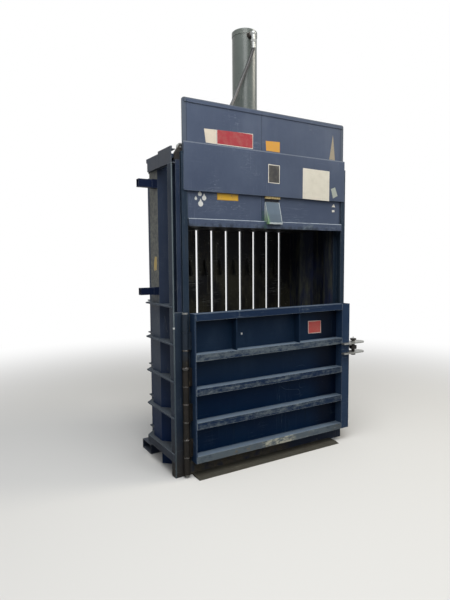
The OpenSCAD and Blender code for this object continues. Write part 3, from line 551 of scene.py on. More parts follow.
class DoorPaint(Paint):
    """The door skin's deep paint, with fine upright scratches and wiped smears."""

    def local(self, r: Recipe, rough: Value) -> Value:
        """Adds upright scratches, wiped arcs, painted light that makes the upper part lighter, painted
        shadow that makes the right end darker and a painted shadow under the top rail.
        """
        z = r.z
        lines = r.scratches(75.0, 1.5, 0.014, ZERO, 15.0) * r.noise(1.7, 2.0).step(0.45, 0.6)
        r.over(lines * 0.5, shade(70, 88, 104))
        arcs = abs(r.noise(3.4, 1.0, 0.4, (1.0, 1.0, 1.4), swirl=0.5) - 0.5).step(0.006, 0.0)
        arcs = arcs * r.noise(2.6, 2.0, shift=(8.0, 0.0, 0.0)).step(0.56, 0.66)
        r.over(arcs * 0.4, shade(92, 108, 122))
        runs = r.noise(1.0, 3.0, 0.6, (40.0, 40.0, 2.0), shift=(2.0, 0.0, 5.0)).step(0.6, 0.85)
        r.over(runs * 0.35, shade(42, 60, 78))
        # Painted light: the upper part of the skin is painted lighter, as if more light from above falls
        # on it.
        r.over(z.step(0.55, 0.9) * 0.65, shade(27, 42, 60))
        haze = r.noise(4.0, 4.0, 0.6, (1.0, 1.0, 0.5), shift=(0.0, 0.0, 3.0)).step(0.5, 0.75)
        r.over(haze * z.step(0.6, 0.95) * 0.3, shade(46, 62, 80))
        speck = r.within((-0.309, -0.5, 1.044), (-0.297, -0.39, 1.058), 0.002)
        r.over(speck, shade(206, 212, 214))
        mark = r.within((0.6475, -ANYWHERE, 0.977), (0.6505, ANYWHERE, 1.094), 0.001)
        r.over(mark * 0.7, shade(70, 86, 104))
        # Painted shadow: the right end of the skin is painted near black.
        dark = r.x.step(0.34, 0.60) * (0.85 + runs * 0.15)
        r.over(dark * 0.85, shade(2, 4, 16))
        # Painted shadow: a dark band on the front of the skin just under the top rail.
        under = z.step(1.14, 1.19) * r.facing_y.step(-0.5, -0.9)
        r.over(under * 0.6, shade(4, 8, 16))
        return rough


class RibPaint(Paint):
    """The door ribs' paint: rubbed to grey on the front faces, most on the lowest rail."""

    def local(self, r: Recipe, rough: Value) -> Value:
        """Adds the rubbed front faces, the pale ledges, which are partly wear and partly painted light,
        pale edges that are partly wear and partly a painted highlight, painted shade towards the right
        end, and the streak on the lowest rail.
        """
        front = r.facing_y.step(-0.6, -0.9)
        z = r.z
        upper = z.step(1.18, 1.10)
        long = r.noise(1.0, 5.0, 0.72, (3.0, 3.0, 46.0))
        blotch = r.noise(17.0, 5.0, 0.75, (1.0, 1.0, 1.7), shift=(1.0, 0.0, 0.0))
        lowest = z.step(0.2, 0.15)
        second = r.within((-ANYWHERE, -ANYWHERE, 0.87), (ANYWHERE, ANYWHERE, 0.95), 0.01)
        rubbed = (long * 0.55 + blotch * 0.7 + lowest * 0.18 + second * 0.08 - 0.1).step(0.46, 0.7)
        rubbed = rubbed * front * upper
        r.over(rubbed * 0.8, shade(98, 108, 114))
        rust = r.noise(24.0, 5.0, 0.75, shift=(6.0, 0.0, 2.0)).step(0.55, 0.68) * lowest * front
        r.over(rust * 0.8, shade(112, 102, 80))
        bright = (long * 0.6 + blotch * 0.6).step(0.68, 0.82) * front * upper
        r.over(bright * 0.6, shade(150, 158, 160))
        # Partly rubbed wear and partly painted light: the tops of the ribs are painted pale, as if
        # catching the light from above.
        ledge = r.facing_z.step(0.5, 0.9) * upper * (0.3 + blotch * 0.9)
        r.over(ledge * 0.75, shade(106, 122, 138))
        # Partly edge wear and partly painted highlight: the edges of the ribs below the top rail are
        # painted pale.
        rim = r.edges(0.005) * upper * long.step(0.25, 0.5)
        r.over(rim * 0.75, shade(150, 160, 166))
        cream = r.within((-0.12, -ANYWHERE, 0.1), (0.16, ANYWHERE, 0.17), 0.05)
        cream = cream * blotch.step(0.42, 0.6) * front
        r.over(cream * 0.8, shade(186, 186, 168))
        # Painted shade: the ribs below the top rail are painted darker towards the right end.
        deep = r.x.step(0.5, 0.68) * upper
        r.over(deep * 0.3, shade(20, 28, 40))
        return rough + rubbed * 0.08


class WallPaint(Paint):
    """The side walls' paint: dusty outside, bare dark dirty steel inside the chamber."""

    def local(self, r: Recipe, rough: Value) -> Value:
        """Adds the grey column face, the deeper blue low down and the dirt inside."""
        patch = r.noise(4.5, 5.0, 0.65, (1.0, 1.0, 0.6))
        fine = r.noise(40.0, 4.0, 0.7, shift=(2.0, 2.0, 0.0))
        z = r.z + patch * 0.2
        flat = abs(r.x).step(0.853, 0.859) * abs(r.facing_x).step(0.8, 0.95)
        grey = r.blend(fine.step(0.35, 0.7), shade(84, 86, 84), shade(118, 120, 112))
        r.over(flat * z.step(1.3, 1.55) * 0.9, grey)
        r.over(flat * z.step(1.45, 1.2) * 0.55, shade(62, 72, 84))
        r.over(z.step(1.1, 0.3) * 0.92, shade(4, 28, 62))
        rust = r.noise(21.0, 5.0, 0.72, shift=(0.0, 6.0, 0.0)).step(0.64, 0.72)
        r.over(rust * 0.35, shade(84, 70, 56))
        side = r.x * 40.0
        inward = (side.step(-1.0, 1.0) * 2.0 - 1.0) * r.facing_x
        inside = inward.step(-0.2, -0.5) * abs(r.x).step(0.79, 0.765) | (
            inward.step(-0.2, -0.5) * abs(r.x).step(0.76, 0.78))
        runs = r.noise(1.0, 5.0, 0.7, (1.0, 17.0, 2.2), (24.0, 0.0, 0.0))
        grime = r.blend(runs.step(0.42, 0.66), shade(32, 37, 52), shade(72, 74, 66))
        blue = r.noise(3.0, 3.0, 0.6, (1.0, 1.0, 0.5), shift=(0.0, 2.0, 4.0)).step(0.5, 0.66)
        grime = r.blend(blue * 0.7, grime, shade(26, 36, 76))
        pale = r.noise(1.0, 4.0, 0.75, (1.0, 38.0, 3.4), (18.0, 0.0, 0.0), (2.0, 0.0, 0.0))
        grime = r.blend(pale.step(0.62, 0.72) * 0.5, grime, shade(116, 110, 90))
        r.over(inside, grime)
        return rough + inside * 0.1


class PostPaint(Paint):
    """The hinge post: dark blue-grey with a bright rubbed front edge and two white specks."""

    def local(self, r: Recipe, rough: Value) -> Value:
        """Adds the rubbed front edge and the specks."""
        patch = r.noise(30.0, 5.0, 0.7, (1.0, 1.0, 0.3))
        front = r.facing_y.step(-0.6, -0.9) * r.x.step(-0.880, -0.883)
        tint = r.blend(r.z.step(0.5, 1.3), shade(72, 84, 92), shade(112, 124, 128))
        r.over(front * (0.35 + patch * 0.65), tint)
        speck = r.within((-0.893, -0.397, 1.130), (-0.880, -0.385, 1.142), 0.002)
        r.over(speck, shade(200, 204, 204))
        return rough


class BasePaint(Paint):
    """The base: brown with floor dirt on the left of its front, blue on the right."""

    def local(self, r: Recipe, rough: Value) -> Value:
        """Adds the caked dirt and its crumbling edge."""
        patch = r.noise(12.0, 5.0, 0.7)
        caked = (r.x + patch * 0.25).step(0.36, 0.20) * patch.step(0.3, 0.55)
        caked = caked * r.y.step(-0.28, -0.34)
        mud = r.blend(r.noise(60.0, 4.0, 0.7), shade(58, 52, 40), shade(110, 102, 82))
        r.over(caked * 0.65, mud)
        return rough + caked * 0.2


@dataclass(frozen=True)
class Steel:
    """Bare steel that has darkened, rusted or been rubbed bright."""

    name: str
    base: Colour
    second: Colour
    bright: Colour = shade(150, 150, 146)
    rust: Colour = shade(94, 64, 42)
    rust_share: float = 0.2
    grime_share: float = 0.3
    edge_share: float = 0.7
    edge_reach: float = 0.005
    streak: Point = (12.0, 12.0, 12.0)
    metal: float = 0.7
    roughness: float = 0.42
    specular: float = 0.25

    def local(self, r: Recipe) -> None:
        """Adds what only this finish has.

        Args:
            r: The recipe to add to.
        """

    def painted(self, r: Recipe) -> Value | float:
        """Where paint covers the steel.

        Args:
            r: The recipe to add to.

        Returns:
            1 where it is painted.
        """
        return 0.0

    def make(self) -> bpy.types.Material:
        """Builds the material."""
        r = Recipe(self.name)
        cloud = r.noise(6.0, 5.0, 0.65)
        fine = r.noise(90.0, 4.0, 0.7)
        streak = r.noise(1.0, 4.0, 0.65, self.streak)
        rust = r.noise(15.0, 6.0, 0.75, shift=(0.0, 4.0, 2.0)) + cloud * 0.25
        rust = rust.step(0.82 - 0.4 * self.rust_share, 0.92 - 0.3 * self.rust_share)
        rust = rust * min(1.0, self.rust_share * 2.0)
        grime = (streak * 0.6 + cloud * 0.5).step(0.5, 0.75) * self.grime_share
        rub = (r.edges(self.edge_reach) + fine * 0.7 - 0.55).step(0.15, 0.6) * self.edge_share
        marks = r.scratches(4.0, 120.0, 0.02, (10.0, 20.0, 0.0), 3.0)
        r.colour = r.blend(cloud * 0.6 + streak * 0.4, self.base, self.second)
        r.over(grime, shade(34, 30, 26))
        r.over(rust, self.rust)
        r.over(rub | marks * 0.6, self.bright)
        self.local(r)
        metal = (1.0 - (rust | grime | self.painted(r))) * self.metal
        rough = self.roughness + (fine - 0.5) * 0.25 + rust * 0.35 + grime * 0.2 - rub * 0.1
        relief = fine * 0.4 + rust * 0.5 + streak * 0.2
        return r.finish(rough, relief, depth=0.0008, metal=metal, specular=self.specular)


class HingeSteel(Steel):
    """The pipe hinge: painted above, bare and black with grease below."""

    def painted(self, r: Recipe) -> Value:
        """The upper half."""
        return (r.z + r.noise(9.0, 4.0, 0.7) * 0.3).step(1.02, 1.14)

    def local(self, r: Recipe) -> None:
        """Adds the grease that ran down, and the paint of the upper half over it."""
        grease = r.noise(20.0, 5.0, 0.75, (1.0, 1.0, 0.4), shift=(0.0, 5.0, 0.0)).step(0.42, 0.58)
        r.over(grease * 0.8, shade(20, 18, 16))
        smear = r.noise(34.0, 4.0, 0.75, (1.0, 1.0, 0.5), shift=(4.0, 0.0, 0.0)).step(0.6, 0.72)
        r.over(smear * 0.6, shade(104, 94, 68))
        navy = r.blend(r.noise(24.0, 4.0, 0.7), shade(10, 20, 32), shade(30, 42, 54))
        r.over(self.painted(r), navy)


class ChamberSteel(Steel):
    """The rear wall and floor: near black, with press dirt and slots rubbed bright."""

    def local(self, r: Recipe) -> None:
        """Adds the dirt that the bales leave and the bright slot edges."""
        patch = r.noise(3.2, 5.0, 0.7, (1.0, 1.0, 0.5), shift=(5.0, 0.0, 0.0))
        band = r.z.step(1.78, 1.5)
        mud = (patch + band * 0.12).step(0.52, 0.7) * 0.75
        r.over(mud, shade(66, 64, 52))
        runs = r.noise(1.0, 5.0, 0.72, (34.0, 1.0, 1.8)).step(0.6, 0.74)
        r.over(runs * 0.55, shade(104, 104, 94))
        flecks = r.chips(60.0, 0.35, 9.0) * patch.step(0.45, 0.6)
        r.over(flecks * 0.8, shade(150, 152, 146))
        sides = r.noise(1.0, 3.0, 0.6, (1.0, 1.0, 3.0)).step(0.3, 0.6)
        r.over(abs(r.facing_x).step(0.7, 0.95) * sides * 0.5, shade(120, 124, 126))
        navy = r.blend(r.noise(7.0, 5.0, 0.65), shade(28, 38, 58), shade(56, 66, 84))
        powder = r.noise(1.0, 4.0, 0.6, (24.0, 24.0, 1.4)).step(0.5, 0.75) * 0.6
        dusty = r.blend(powder, navy, shade(74, 74, 68))
        r.over(self.painted(r), dusty)

    def painted(self, r: Recipe) -> Value:
        """The outside of the rear wall."""
        return r.y.step(0.3285, 0.3295)


@dataclass(frozen=True)
class Plastic:
    """Moulded plastic or rubber with dust and fine wear."""

    name: str
    base: Colour
    dusty: Colour
    dust_share: float = 0.3
    roughness: float = 0.5
    coat: float = 0.0
    grain: float = 300.0

    def make(self) -> bpy.types.Material:
        """Builds the material."""
        r = Recipe(self.name)
        cloud = r.noise(14.0, 4.0, 0.65)
        fine = r.noise(self.grain, 3.0, 0.6)
        rub = r.edges(0.003) * r.noise(120.0, 3.0, 0.7).step(0.4, 0.65)
        dust = cloud.step(0.4, 0.75) * self.dust_share + r.facing_z.step(0.3, 0.8) * self.dust_share
        r.colour = r.blend(dust, self.base, self.dusty)
        r.over(rub * 0.4, self.dusty)
        rough = self.roughness + dust * 0.3 + (fine - 0.5) * 0.15
        return r.finish(rough, fine * 0.5 + cloud * 0.3, depth=0.0003, metal=0.0, coat=self.coat)


@dataclass(frozen=True)
class Label:
    """A plain printed film: one or two fields of colour, rubbed and a little torn."""

    name: str
    field_colour: Colour
    border: Colour
    low: Point
    high: Point
    margin: float = 0.012
    wear_share: float = 0.25
    under: Colour = shade(62, 74, 100)

    def make(self) -> bpy.types.Material:
        """Builds the material."""
        r = Recipe(self.name)
        low = tuple(a + self.margin for a in self.low)
        high = tuple(b - self.margin for b in self.high)
        inner = r.within(low, high, 0.001)
        cloud = r.noise(18.0, 5.0, 0.7)
        fine = r.noise(210.0, 3.0, 0.7)
        edge = 0.72 - 0.3 * self.wear_share
        worn = (cloud * 0.6 + fine * 0.5).step(edge, edge + 0.06)
        r.colour = r.blend(inner, self.border, self.field_colour)
        r.over(cloud.step(0.35, 0.8) * 0.22, shade(150, 142, 122))
        r.over(worn * 0.7, self.under)
        return r.finish(0.42 + fine * 0.2, 1.0 - worn, depth=0.0003)


NAVY = shade(57, 68, 90)
NAVY_FADED = shade(73, 84, 104)
PALE = shade(140, 146, 152)


class Finishes:
    """Every finish of the machine, made once."""

    def __init__(self) -> None:
        """Makes the materials."""
        made: list[Paint | Steel | Plastic] = [
            GatePaint("gate_paint", NAVY, NAVY_FADED, shade(112, 124, 138), dust_share=0.5,
                      edge_share=0.45, dirt_share=0.16, scratch_share=0.35, chip_share=0.03,
                      roughness=0.46, specular=0.2),
            HandlePaint("handle_paint", shade(66, 82, 98), shade(82, 98, 112), shade(158, 168, 172),
                        dirt=shade(50, 66, 66), dirt_share=0.3, edge_share=0.9, specular=0.25),
            Paint("guide_paint", shade(27, 40, 55), shade(42, 55, 70), shade(104, 116, 122),
                  edge_share=0.45, dirt_share=0.3, foot_dirt=0.7),
            PostPaint("post_paint", shade(26, 37, 52), shade(42, 53, 67), shade(122, 134, 138),
                      edge_share=0.8, dirt_share=0.45, chip_share=0.25, foot_dirt=0.8),
            DoorPaint("door_paint", shade(3, 25, 52), shade(9, 34, 60), shade(74, 90, 104),
                      edge_share=0.5, dirt=shade(12, 22, 30), dirt_share=0.4, scratch_share=0.35,
                      chip_share=0.04, dust=shade(70, 84, 98), dust_share=0.2, roughness=0.42,
                      specular=0.05),
            Paint("stile_paint", shade(27, 46, 72), shade(40, 58, 82), shade(112, 122, 130),
                  edge_share=0.7, dirt_share=0.3, chip_share=0.1),
            RibPaint("rib_paint", shade(16, 34, 60), shade(30, 48, 72), shade(126, 136, 142),
                     edge_share=0.8, dirt=shade(34, 38, 44), dirt_share=0.3,
                     dust=shade(118, 130, 142), dust_share=0.4, chip_share=0.15),
            WallPaint("wall_paint", shade(38, 49, 70), shade(53, 63, 82), shade(112, 120, 124),
                      edge_share=0.45, dirt_share=0.35, dirt=shade(56, 58, 60), chip_share=0.1,
                      foot_dirt=0.35),
            Paint("side_rib_paint", shade(30, 42, 60), shade(46, 58, 74), shade(116, 124, 130),
                  edge_share=0.8, dirt_share=0.45, dust_share=0.7, dust=shade(96, 102, 106),
                  foot_dirt=0.5),
            Paint("rail_paint", shade(56, 64, 78), shade(76, 80, 88), shade(118, 124, 128),
                  edge_share=0.5, dirt_share=0.55, dust_share=0.8),
            Paint("bracket_paint", shade(10, 20, 44), shade(22, 34, 60), shade(96, 104, 118),
                  edge_share=0.5, dirt_share=0.3),
            BasePaint("base_paint", shade(24, 38, 62), shade(38, 50, 72), shade(110, 108, 100),
                      dirt=shade(54, 54, 50), edge_share=0.6, dirt_share=0.5, chip_share=0.3,
                      foot_dirt=0.3, roughness=0.6),
            Paint("frame_paint", shade(30, 42, 62), shade(48, 58, 78), PALE, edge_share=0.5,
                  dirt_share=0.45, dust_share=0.8),
            Paint("cylinder_paint", shade(72, 80, 78), shade(94, 99, 94), shade(166, 170, 164),
                  dirt=shade(58, 62, 58), edge_share=0.6, dirt_share=0.3, dust_share=0.5,
                  chip_share=0.06, roughness=0.3, specular=0.35),
            Paint("box_paint", shade(136, 140, 142), shade(154, 157, 156), shade(96, 98, 100),
                  dirt=shade(92, 88, 80), edge_share=0.4, dirt_share=0.35, roughness=0.45,
                  metal_wear=0.0),
            Paint("motor_paint", shade(74, 84, 92), shade(90, 100, 106), PALE, edge_share=0.6,
                  dirt_share=0.6, dust_share=0.9),
            ChamberSteel("chamber_steel", shade(20, 21, 26), shade(32, 33, 36),
                         shade(150, 152, 150), rust_share=0.22, grime_share=0.5, edge_share=0.6,
                         streak=(18.0, 18.0, 1.2), metal=0.35, roughness=0.5, specular=0.15),
            Steel("sill_steel", shade(44, 45, 42), shade(68, 65, 55), shade(104, 100, 88),
                  rust_share=0.15, grime_share=0.45, metal=0.1, roughness=0.7),
            HingeSteel("hinge_steel", shade(20, 19, 18), shade(42, 38, 33), shade(122, 114, 98),
                       rust_share=0.2, rust=shade(58, 44, 32), grime_share=0.75, edge_share=0.5,
                       streak=(30.0, 30.0, 7.0), metal=0.3, roughness=0.45),
            Steel("bright_steel", shade(126, 128, 126), shade(158, 158, 154), shade(206, 206, 200),
                  rust_share=0.18, grime_share=0.35, metal=0.8, roughness=0.36),
            Steel("dark_steel", shade(38, 36, 36), shade(58, 55, 52), shade(132, 128, 120),
                  rust_share=0.3, grime_share=0.4, metal=0.6, roughness=0.46),
            Steel("ground_rod", shade(158, 160, 160), shade(176, 178, 178), shade(214, 214, 212),
                  rust_share=0.02, grime_share=0.12, streak=(60.0, 60.0, 0.8), metal=0.95,
                  roughness=0.2),
            Steel("galvanised", shade(140, 143, 142), shade(172, 174, 172), shade(208, 208, 204),
                  rust_share=0.05, grime_share=0.18, metal=0.7, roughness=0.34),
            Plastic("hose_rubber", shade(16, 17, 19), shade(66, 66, 64), dust_share=0.15,
                    roughness=0.42),
            Plastic("slide_plastic", shade(206, 200, 182), shade(116, 104, 84), dust_share=0.5,
                    roughness=0.5),
            Plastic("green_plastic", shade(24, 118, 58), shade(86, 130, 96), dust_share=0.2,
                    roughness=0.3, coat=0.4),
            Plastic("red_plastic", shade(176, 24, 22), shade(160, 96, 86), dust_share=0.2,
                    roughness=0.3, coat=0.4),
            Plastic("black_plastic", shade(24, 24, 26), shade(88, 88, 86), dust_share=0.3,
                    roughness=0.4, coat=0.2),
            Plastic("grease", shade(22, 17, 12), shade(58, 46, 32), dust_share=0.35, roughness=0.24,
                    coat=0.5, grain=60.0),
            Plastic("sticker_white", shade(206, 208, 204), shade(150, 150, 148), dust_share=0.35,
                    roughness=0.45),
        ]
        self.by_name = {finish.name: finish.make() for finish in made}

    def dress(self, name: str, nodes: Sequence[str]) -> None:
        """Gives CAD nodes a finish.

        Args:
            name: The finish.
            nodes: The nodes that take it.
        """
        for node in nodes:
            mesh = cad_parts[node].data
            mesh.materials.clear()
            mesh.materials.append(self.by_name[name])
            for face in mesh.polygons:
                face.material_index = 0


# Modelling


class Bench:
    """Modelling steps: one piece at a time is added, shaped in edit mode and laid down."""

    @staticmethod
    def clear() -> None:
        """Deselects everything."""
        bpy.ops.object.select_all(action="DESELECT")

    @staticmethod
    def settle(obj: Piece) -> Piece:
        """Puts a piece's place into its mesh.

        Args:
            obj: The piece.

        Returns:
            The same piece.
        """
        Bench.clear()
        obj.select_set(True)
        bpy.context.view_layer.objects.active = obj
        bpy.ops.object.transform_apply(location=True, rotation=True, scale=True)
        return obj

    @staticmethod
    def named(name: str) -> Piece:
        """Names the primitive that was just added.

        Args:
            name: The piece's name.

        Returns:
            The piece.
        """
        obj = bpy.context.view_layer.objects.active
        obj.name = name
        obj.data.name = name
        return obj

    @staticmethod
    def aimed(obj: Piece, place: Point, towards: Point) -> Piece:
        """Turns a piece's Z axis to a direction and puts its origin at a place.

        Args:
            obj: The piece.
            place: Where its origin goes.
            towards: Where its Z axis points.

        Returns:
            The same piece, settled.
        """
        obj.rotation_mode = "QUATERNION"
        obj.rotation_quaternion = Vector(towards).normalized().to_track_quat("Z", "Y")
        obj.location = place
        return Bench.settle(obj)

    @staticmethod
    def edit() -> None:
        """Enters edit mode with everything selected."""
        bpy.ops.object.mode_set(mode="EDIT")
        bpy.ops.mesh.select_all(action="SELECT")

    @staticmethod
    def close(obj: Piece, smooth: float | None = 40.0) -> Piece:
        """Merges doubles, turns the faces outward and shades the piece.

        Args:
            obj: The piece, in edit or object mode.
            smooth: Faces that meet under this angle are shaded smooth, None for flat shading.

        Returns:
            The same piece.
        """
        Bench.edit()
        bpy.ops.mesh.remove_doubles(threshold=0.00001)
        bpy.ops.mesh.normals_make_consistent(inside=False)
        bpy.ops.object.mode_set(mode="OBJECT")
        if smooth is not None:
            bpy.ops.object.shade_smooth_by_angle(angle=math.radians(smooth))
        return obj

    @staticmethod
    def block(name: str, low: Point, high: Point, edge: float, steps: int = 2) -> Piece:
        """A box with rounded edges.

        Args:
            name: The piece's name.
            low: Its lowest corner.
            high: Its highest corner.
            edge: Radius of its edges.
            steps: Segments of the rounding.

        Returns:
            The piece.
        """
        Bench.clear()
        middle = tuple((a + b) / 2 for a, b in zip(low, high))
        size = tuple(b - a for a, b in zip(low, high))
        bpy.ops.mesh.primitive_cube_add(size=1.0, location=middle, scale=size)
        obj = Bench.settle(Bench.named(name))
        Bench.edit()
        bpy.ops.mesh.bevel(offset=edge, segments=steps, affect="EDGES")
        return Bench.close(obj)

    @staticmethod
    def turned(name: str, start: Point, towards: Point, profile: Profile, sides: int = 24,
               smooth: float | None = 40.0) -> Piece:
        """A turned piece: a disc that is extruded and scaled step by step along its axis.

        Args:
            name: The piece's name.
            start: Middle of its first face.
            towards: Direction of its axis.
            profile: Distance along the axis and radius of each step, the first at 0.
            sides: Number of sides, 6 for a hexagon.
            smooth: Shading angle.

        Returns:
            The piece.
        """
        Bench.clear()
        bpy.ops.mesh.primitive_circle_add(vertices=sides, radius=profile[0][1], fill_type="NGON")
        obj = Bench.named(name)
        Bench.edit()
        for (at, radius), (was_at, was) in zip(profile[1:], profile):
            bpy.ops.mesh.extrude_region_move(TRANSFORM_OT_translate={"value": (0.0, 0.0, at - was_at)})
            if radius != was:
                grow = radius / was
                bpy.ops.transform.resize(value=(grow, grow, 1.0), center_override=(0.0, 0.0, at))
        bpy.ops.object.mode_set(mode="OBJECT")
        return Bench.close(Bench.aimed(obj, start, towards), smooth)

    @staticmethod
    def weld(name: str, start: Point, end: Point, width: float = 0.005) -> Piece:
        """A weld bead: flattened scales that lie over each other along a line.

        Args:
            name: The piece's name.
            start: Where the bead begins.
            end: Where it ends.
            width: Radius of a scale.

        Returns:
            The piece.
        """
        Bench.clear()
        run = Vector(end) - Vector(start)
        bpy.ops.mesh.primitive_uv_sphere_add(segments=6, ring_count=4, radius=width,
                                             scale=(1.0, 1.0, 0.8))
        obj = Bench.settle(Bench.named(name))
        Bench.edit()
        bpy.ops.transform.rotate(value=math.radians(30.0), orient_axis="Z", center_override=ZERO)
        bpy.ops.object.mode_set(mode="OBJECT")
        pitch = width * 1.15
        row = obj.modifiers.new("row", "ARRAY")
        row.use_relative_offset = False
        row.use_constant_offset = True
        row.constant_offset_displace = (0.0, 0.0, pitch)
        row.count = max(2, int(run.length / pitch))
        bpy.ops.object.modifier_apply(modifier="row")
        return Bench.aimed(obj, start, tuple(run))

    @staticmethod
    def bolt(name: str, place: Point, towards: Point, size: float) -> Piece:
        """A hexagon bolt head with its washer, chamfered on top.

        Args:
            name: The piece's name.
            place: Where the washer lies.
            towards: Direction of the head.
            size: Thread diameter.

        Returns:
            The piece.
        """
        def sized(*shares: tuple[float, float]) -> Profile:
            """Makes a profile from shares of the thread diameter."""
            return [(at * size, radius * size) for at, radius in shares]

        disc = sized((0.0, 1.0), (0.1, 1.0), (0.14, 0.94))
        washer = Bench.turned(name + "_washer", place, towards, disc, sides=20)
        top = Vector(place) + Vector(towards).normalized() * 0.13 * size
        steps = sized((0.0, 0.9), (0.5, 0.9), (0.62, 0.78), (0.62, 0.4), (0.58, 0.34))
        head = Bench.turned(name, tuple(top), towards, steps, sides=6, smooth=20.0)
        return Bench.joined([head, washer])

    @staticmethod
    def joined(parts: Sequence[Piece]) -> Piece:
        """Joins pieces into the first one.

        Args:
            parts: The pieces, two or more.

        Returns:
            The first piece.
        """
        Bench.clear()
        for part in parts:
            part.select_set(True)
        bpy.context.view_layer.objects.active = parts[0]
        bpy.ops.object.join()
        return parts[0]

    @staticmethod
    def ring(name: str, middle: Point, axis: Axis, radius: float, wire: float, flat: float = 1.0,
             sides: int = 40) -> Piece:
        """A round bead or rim.

        Args:
            name: The piece's name.
            middle: Its middle.
            axis: The axis that it lies round, X or Z.
            radius: Radius of its centre line.
            wire: Radius of its section.
            flat: How much its section is flattened along the axis.
            sides: Number of sides.

        Returns:
            The piece.
        """
        Bench.clear()
        turn = (0.0, math.pi / 2 if axis is Axis.X else 0.0, 0.0)
        bpy.ops.mesh.primitive_torus_add(major_radius=radius, minor_radius=wire, major_segments=sides,
                                         minor_segments=8, location=middle, rotation=turn)
        obj = Bench.settle(Bench.named(name))
        Bench.edit()
        scale = tuple(flat if each is axis else 1.0 for each in Axis)
        bpy.ops.transform.resize(value=scale, center_override=middle)
        return Bench.close(obj)

    @staticmethod
    def roughened(obj: Piece, strength: float, size: float) -> Piece:
        """Makes a piece uneven, as a lump of grease is.

        Args:
            obj: The piece.
            strength: How far points move in metres.
            size: Size of the lumps in metres.

        Returns:
            The same piece.
        """
        Bench.settle(obj)
        Bench.edit()
        bpy.ops.mesh.subdivide(number_cuts=1, smoothness=0.6)
        bpy.ops.object.mode_set(mode="OBJECT")
        cloud = bpy.data.textures.new(obj.name, "CLOUDS")
        cloud.noise_scale = size
        lumps = obj.modifiers.new("lumps", "DISPLACE")
        lumps.texture = cloud
        lumps.texture_coords = "LOCAL"
        lumps.strength = strength
        bpy.ops.object.modifier_apply(modifier="lumps")
        bpy.ops.object.shade_smooth()
        return obj

    @staticmethod
    def film(name: str, corners: Sequence[tuple[float, float]], level: float, thick: float = 0.0004,
             axis: Axis = Axis.Y) -> Piece:
        """A thin film on an upright face that looks along -Y or -X.

        Args:
            name: The piece's name.
            corners: Places across and up of its corners, in order.
            level: The face that it sticks to.
            thick: Thickness of the film.
            axis: The axis that the face looks along.

        Returns:
            The piece.
        """
        Bench.clear()
        bpy.ops.mesh.primitive_circle_add(vertices=len(corners), radius=0.01, fill_type="NGON")
        obj = Bench.named(name)
        bpy.ops.object.mode_set(mode="EDIT")
        front = axis is Axis.Y
        out = Vector((0.0, -thick, 0.0) if front else (-thick, 0.0, 0.0))
        for i, (across, up) in enumerate(corners):
            bpy.ops.mesh.select_all(action="DESELECT")
            shape = bmesh.from_edit_mesh(obj.data)
            shape.verts.ensure_lookup_table()
            point = shape.verts[i]
            point.select_set(True)
            place = Vector((across, level, up) if front else (level, across, up))
            move = tuple(place - point.co)
            bmesh.update_edit_mesh(obj.data)
            bpy.ops.transform.translate(value=move)
        bpy.ops.mesh.select_all(action="SELECT")
        bpy.ops.mesh.extrude_region_move(TRANSFORM_OT_translate={"value": tuple(out)})
        bpy.ops.mesh.inset(thickness=min(0.002, thick * 3.0))
        bpy.ops.transform.translate(value=tuple(out * 0.2))
        return Bench.close(obj, None)


# The machine


@dataclass
class SubAssembly:
    """What every sub-assembly shares: the finishes and the way a piece is handed over."""

    coats: ClassVar[Coats] = {}
    finishes: Finishes
    made: list[str] = field(default_factory=list)

    def lay(self, piece: Piece | list[Piece], body: str, finish: str, slot: str) -> Piece:
        """Dresses a piece and lets it ride on its body.

        Args:
            piece: The piece, or pieces to join into the first one.
            body: The body that it moves with.
            finish: Its finish.
            slot: The record's material slot, which is not used.

        Returns:
            The piece.
        """
        obj = Bench.joined(piece) if isinstance(piece, list) else piece
        obj.data.materials.clear()
        obj.data.materials.append(self.finishes.by_name[finish])
        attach(obj, body)
        self.made.append(obj.name)
        return obj

    def dress(self) -> None:
        """Gives this sub-assembly's CAD nodes their finishes."""
        for finish, nodes in self.coats.items():
            self.finishes.dress(finish, nodes)

    def build(self) -> None:
        """Models this sub-assembly's own pieces."""

    def report(self) -> None:
        """Logs what was made."""
        log.info("%s: %d pieces: %s", type(self).__name__, len(self.made), ", ".join(self.made))


@dataclass
class FilmSticker:
    """One plain label: its corners, face, colours and body."""

    name: str
    corners: tuple[tuple[float, float], ...]
    level: float
    body: str
    colour: Colour
    border: Colour
    margin: float = 0.006
    wear: float = 0.2
    under: Colour = NAVY
    axis: Axis = Axis.Y

    def make(self, owner: SubAssembly) -> Piece:
        """Models and dresses the label.

        Args:
            owner: The sub-assembly that it belongs to.

        Returns:
            The piece.
        """
        obj = Bench.film(self.name, self.corners, self.level, axis=self.axis)
        across = [c[0] for c in self.corners]
        up = [c[1] for c in self.corners]
        low, high = (min(across), -ANYWHERE, min(up)), (max(across), ANYWHERE, max(up))
        if self.axis is Axis.X:
            low, high = (-ANYWHERE, low[0], low[2]), (ANYWHERE, high[0], high[2])
        label = Label(self.name, self.colour, self.border, low, high, margin=self.margin,
                      wear_share=self.wear, under=self.under)
        owner.finishes.by_name[self.name] = label.make()
        return owner.lay(obj, self.body, self.name, "red_plastic")


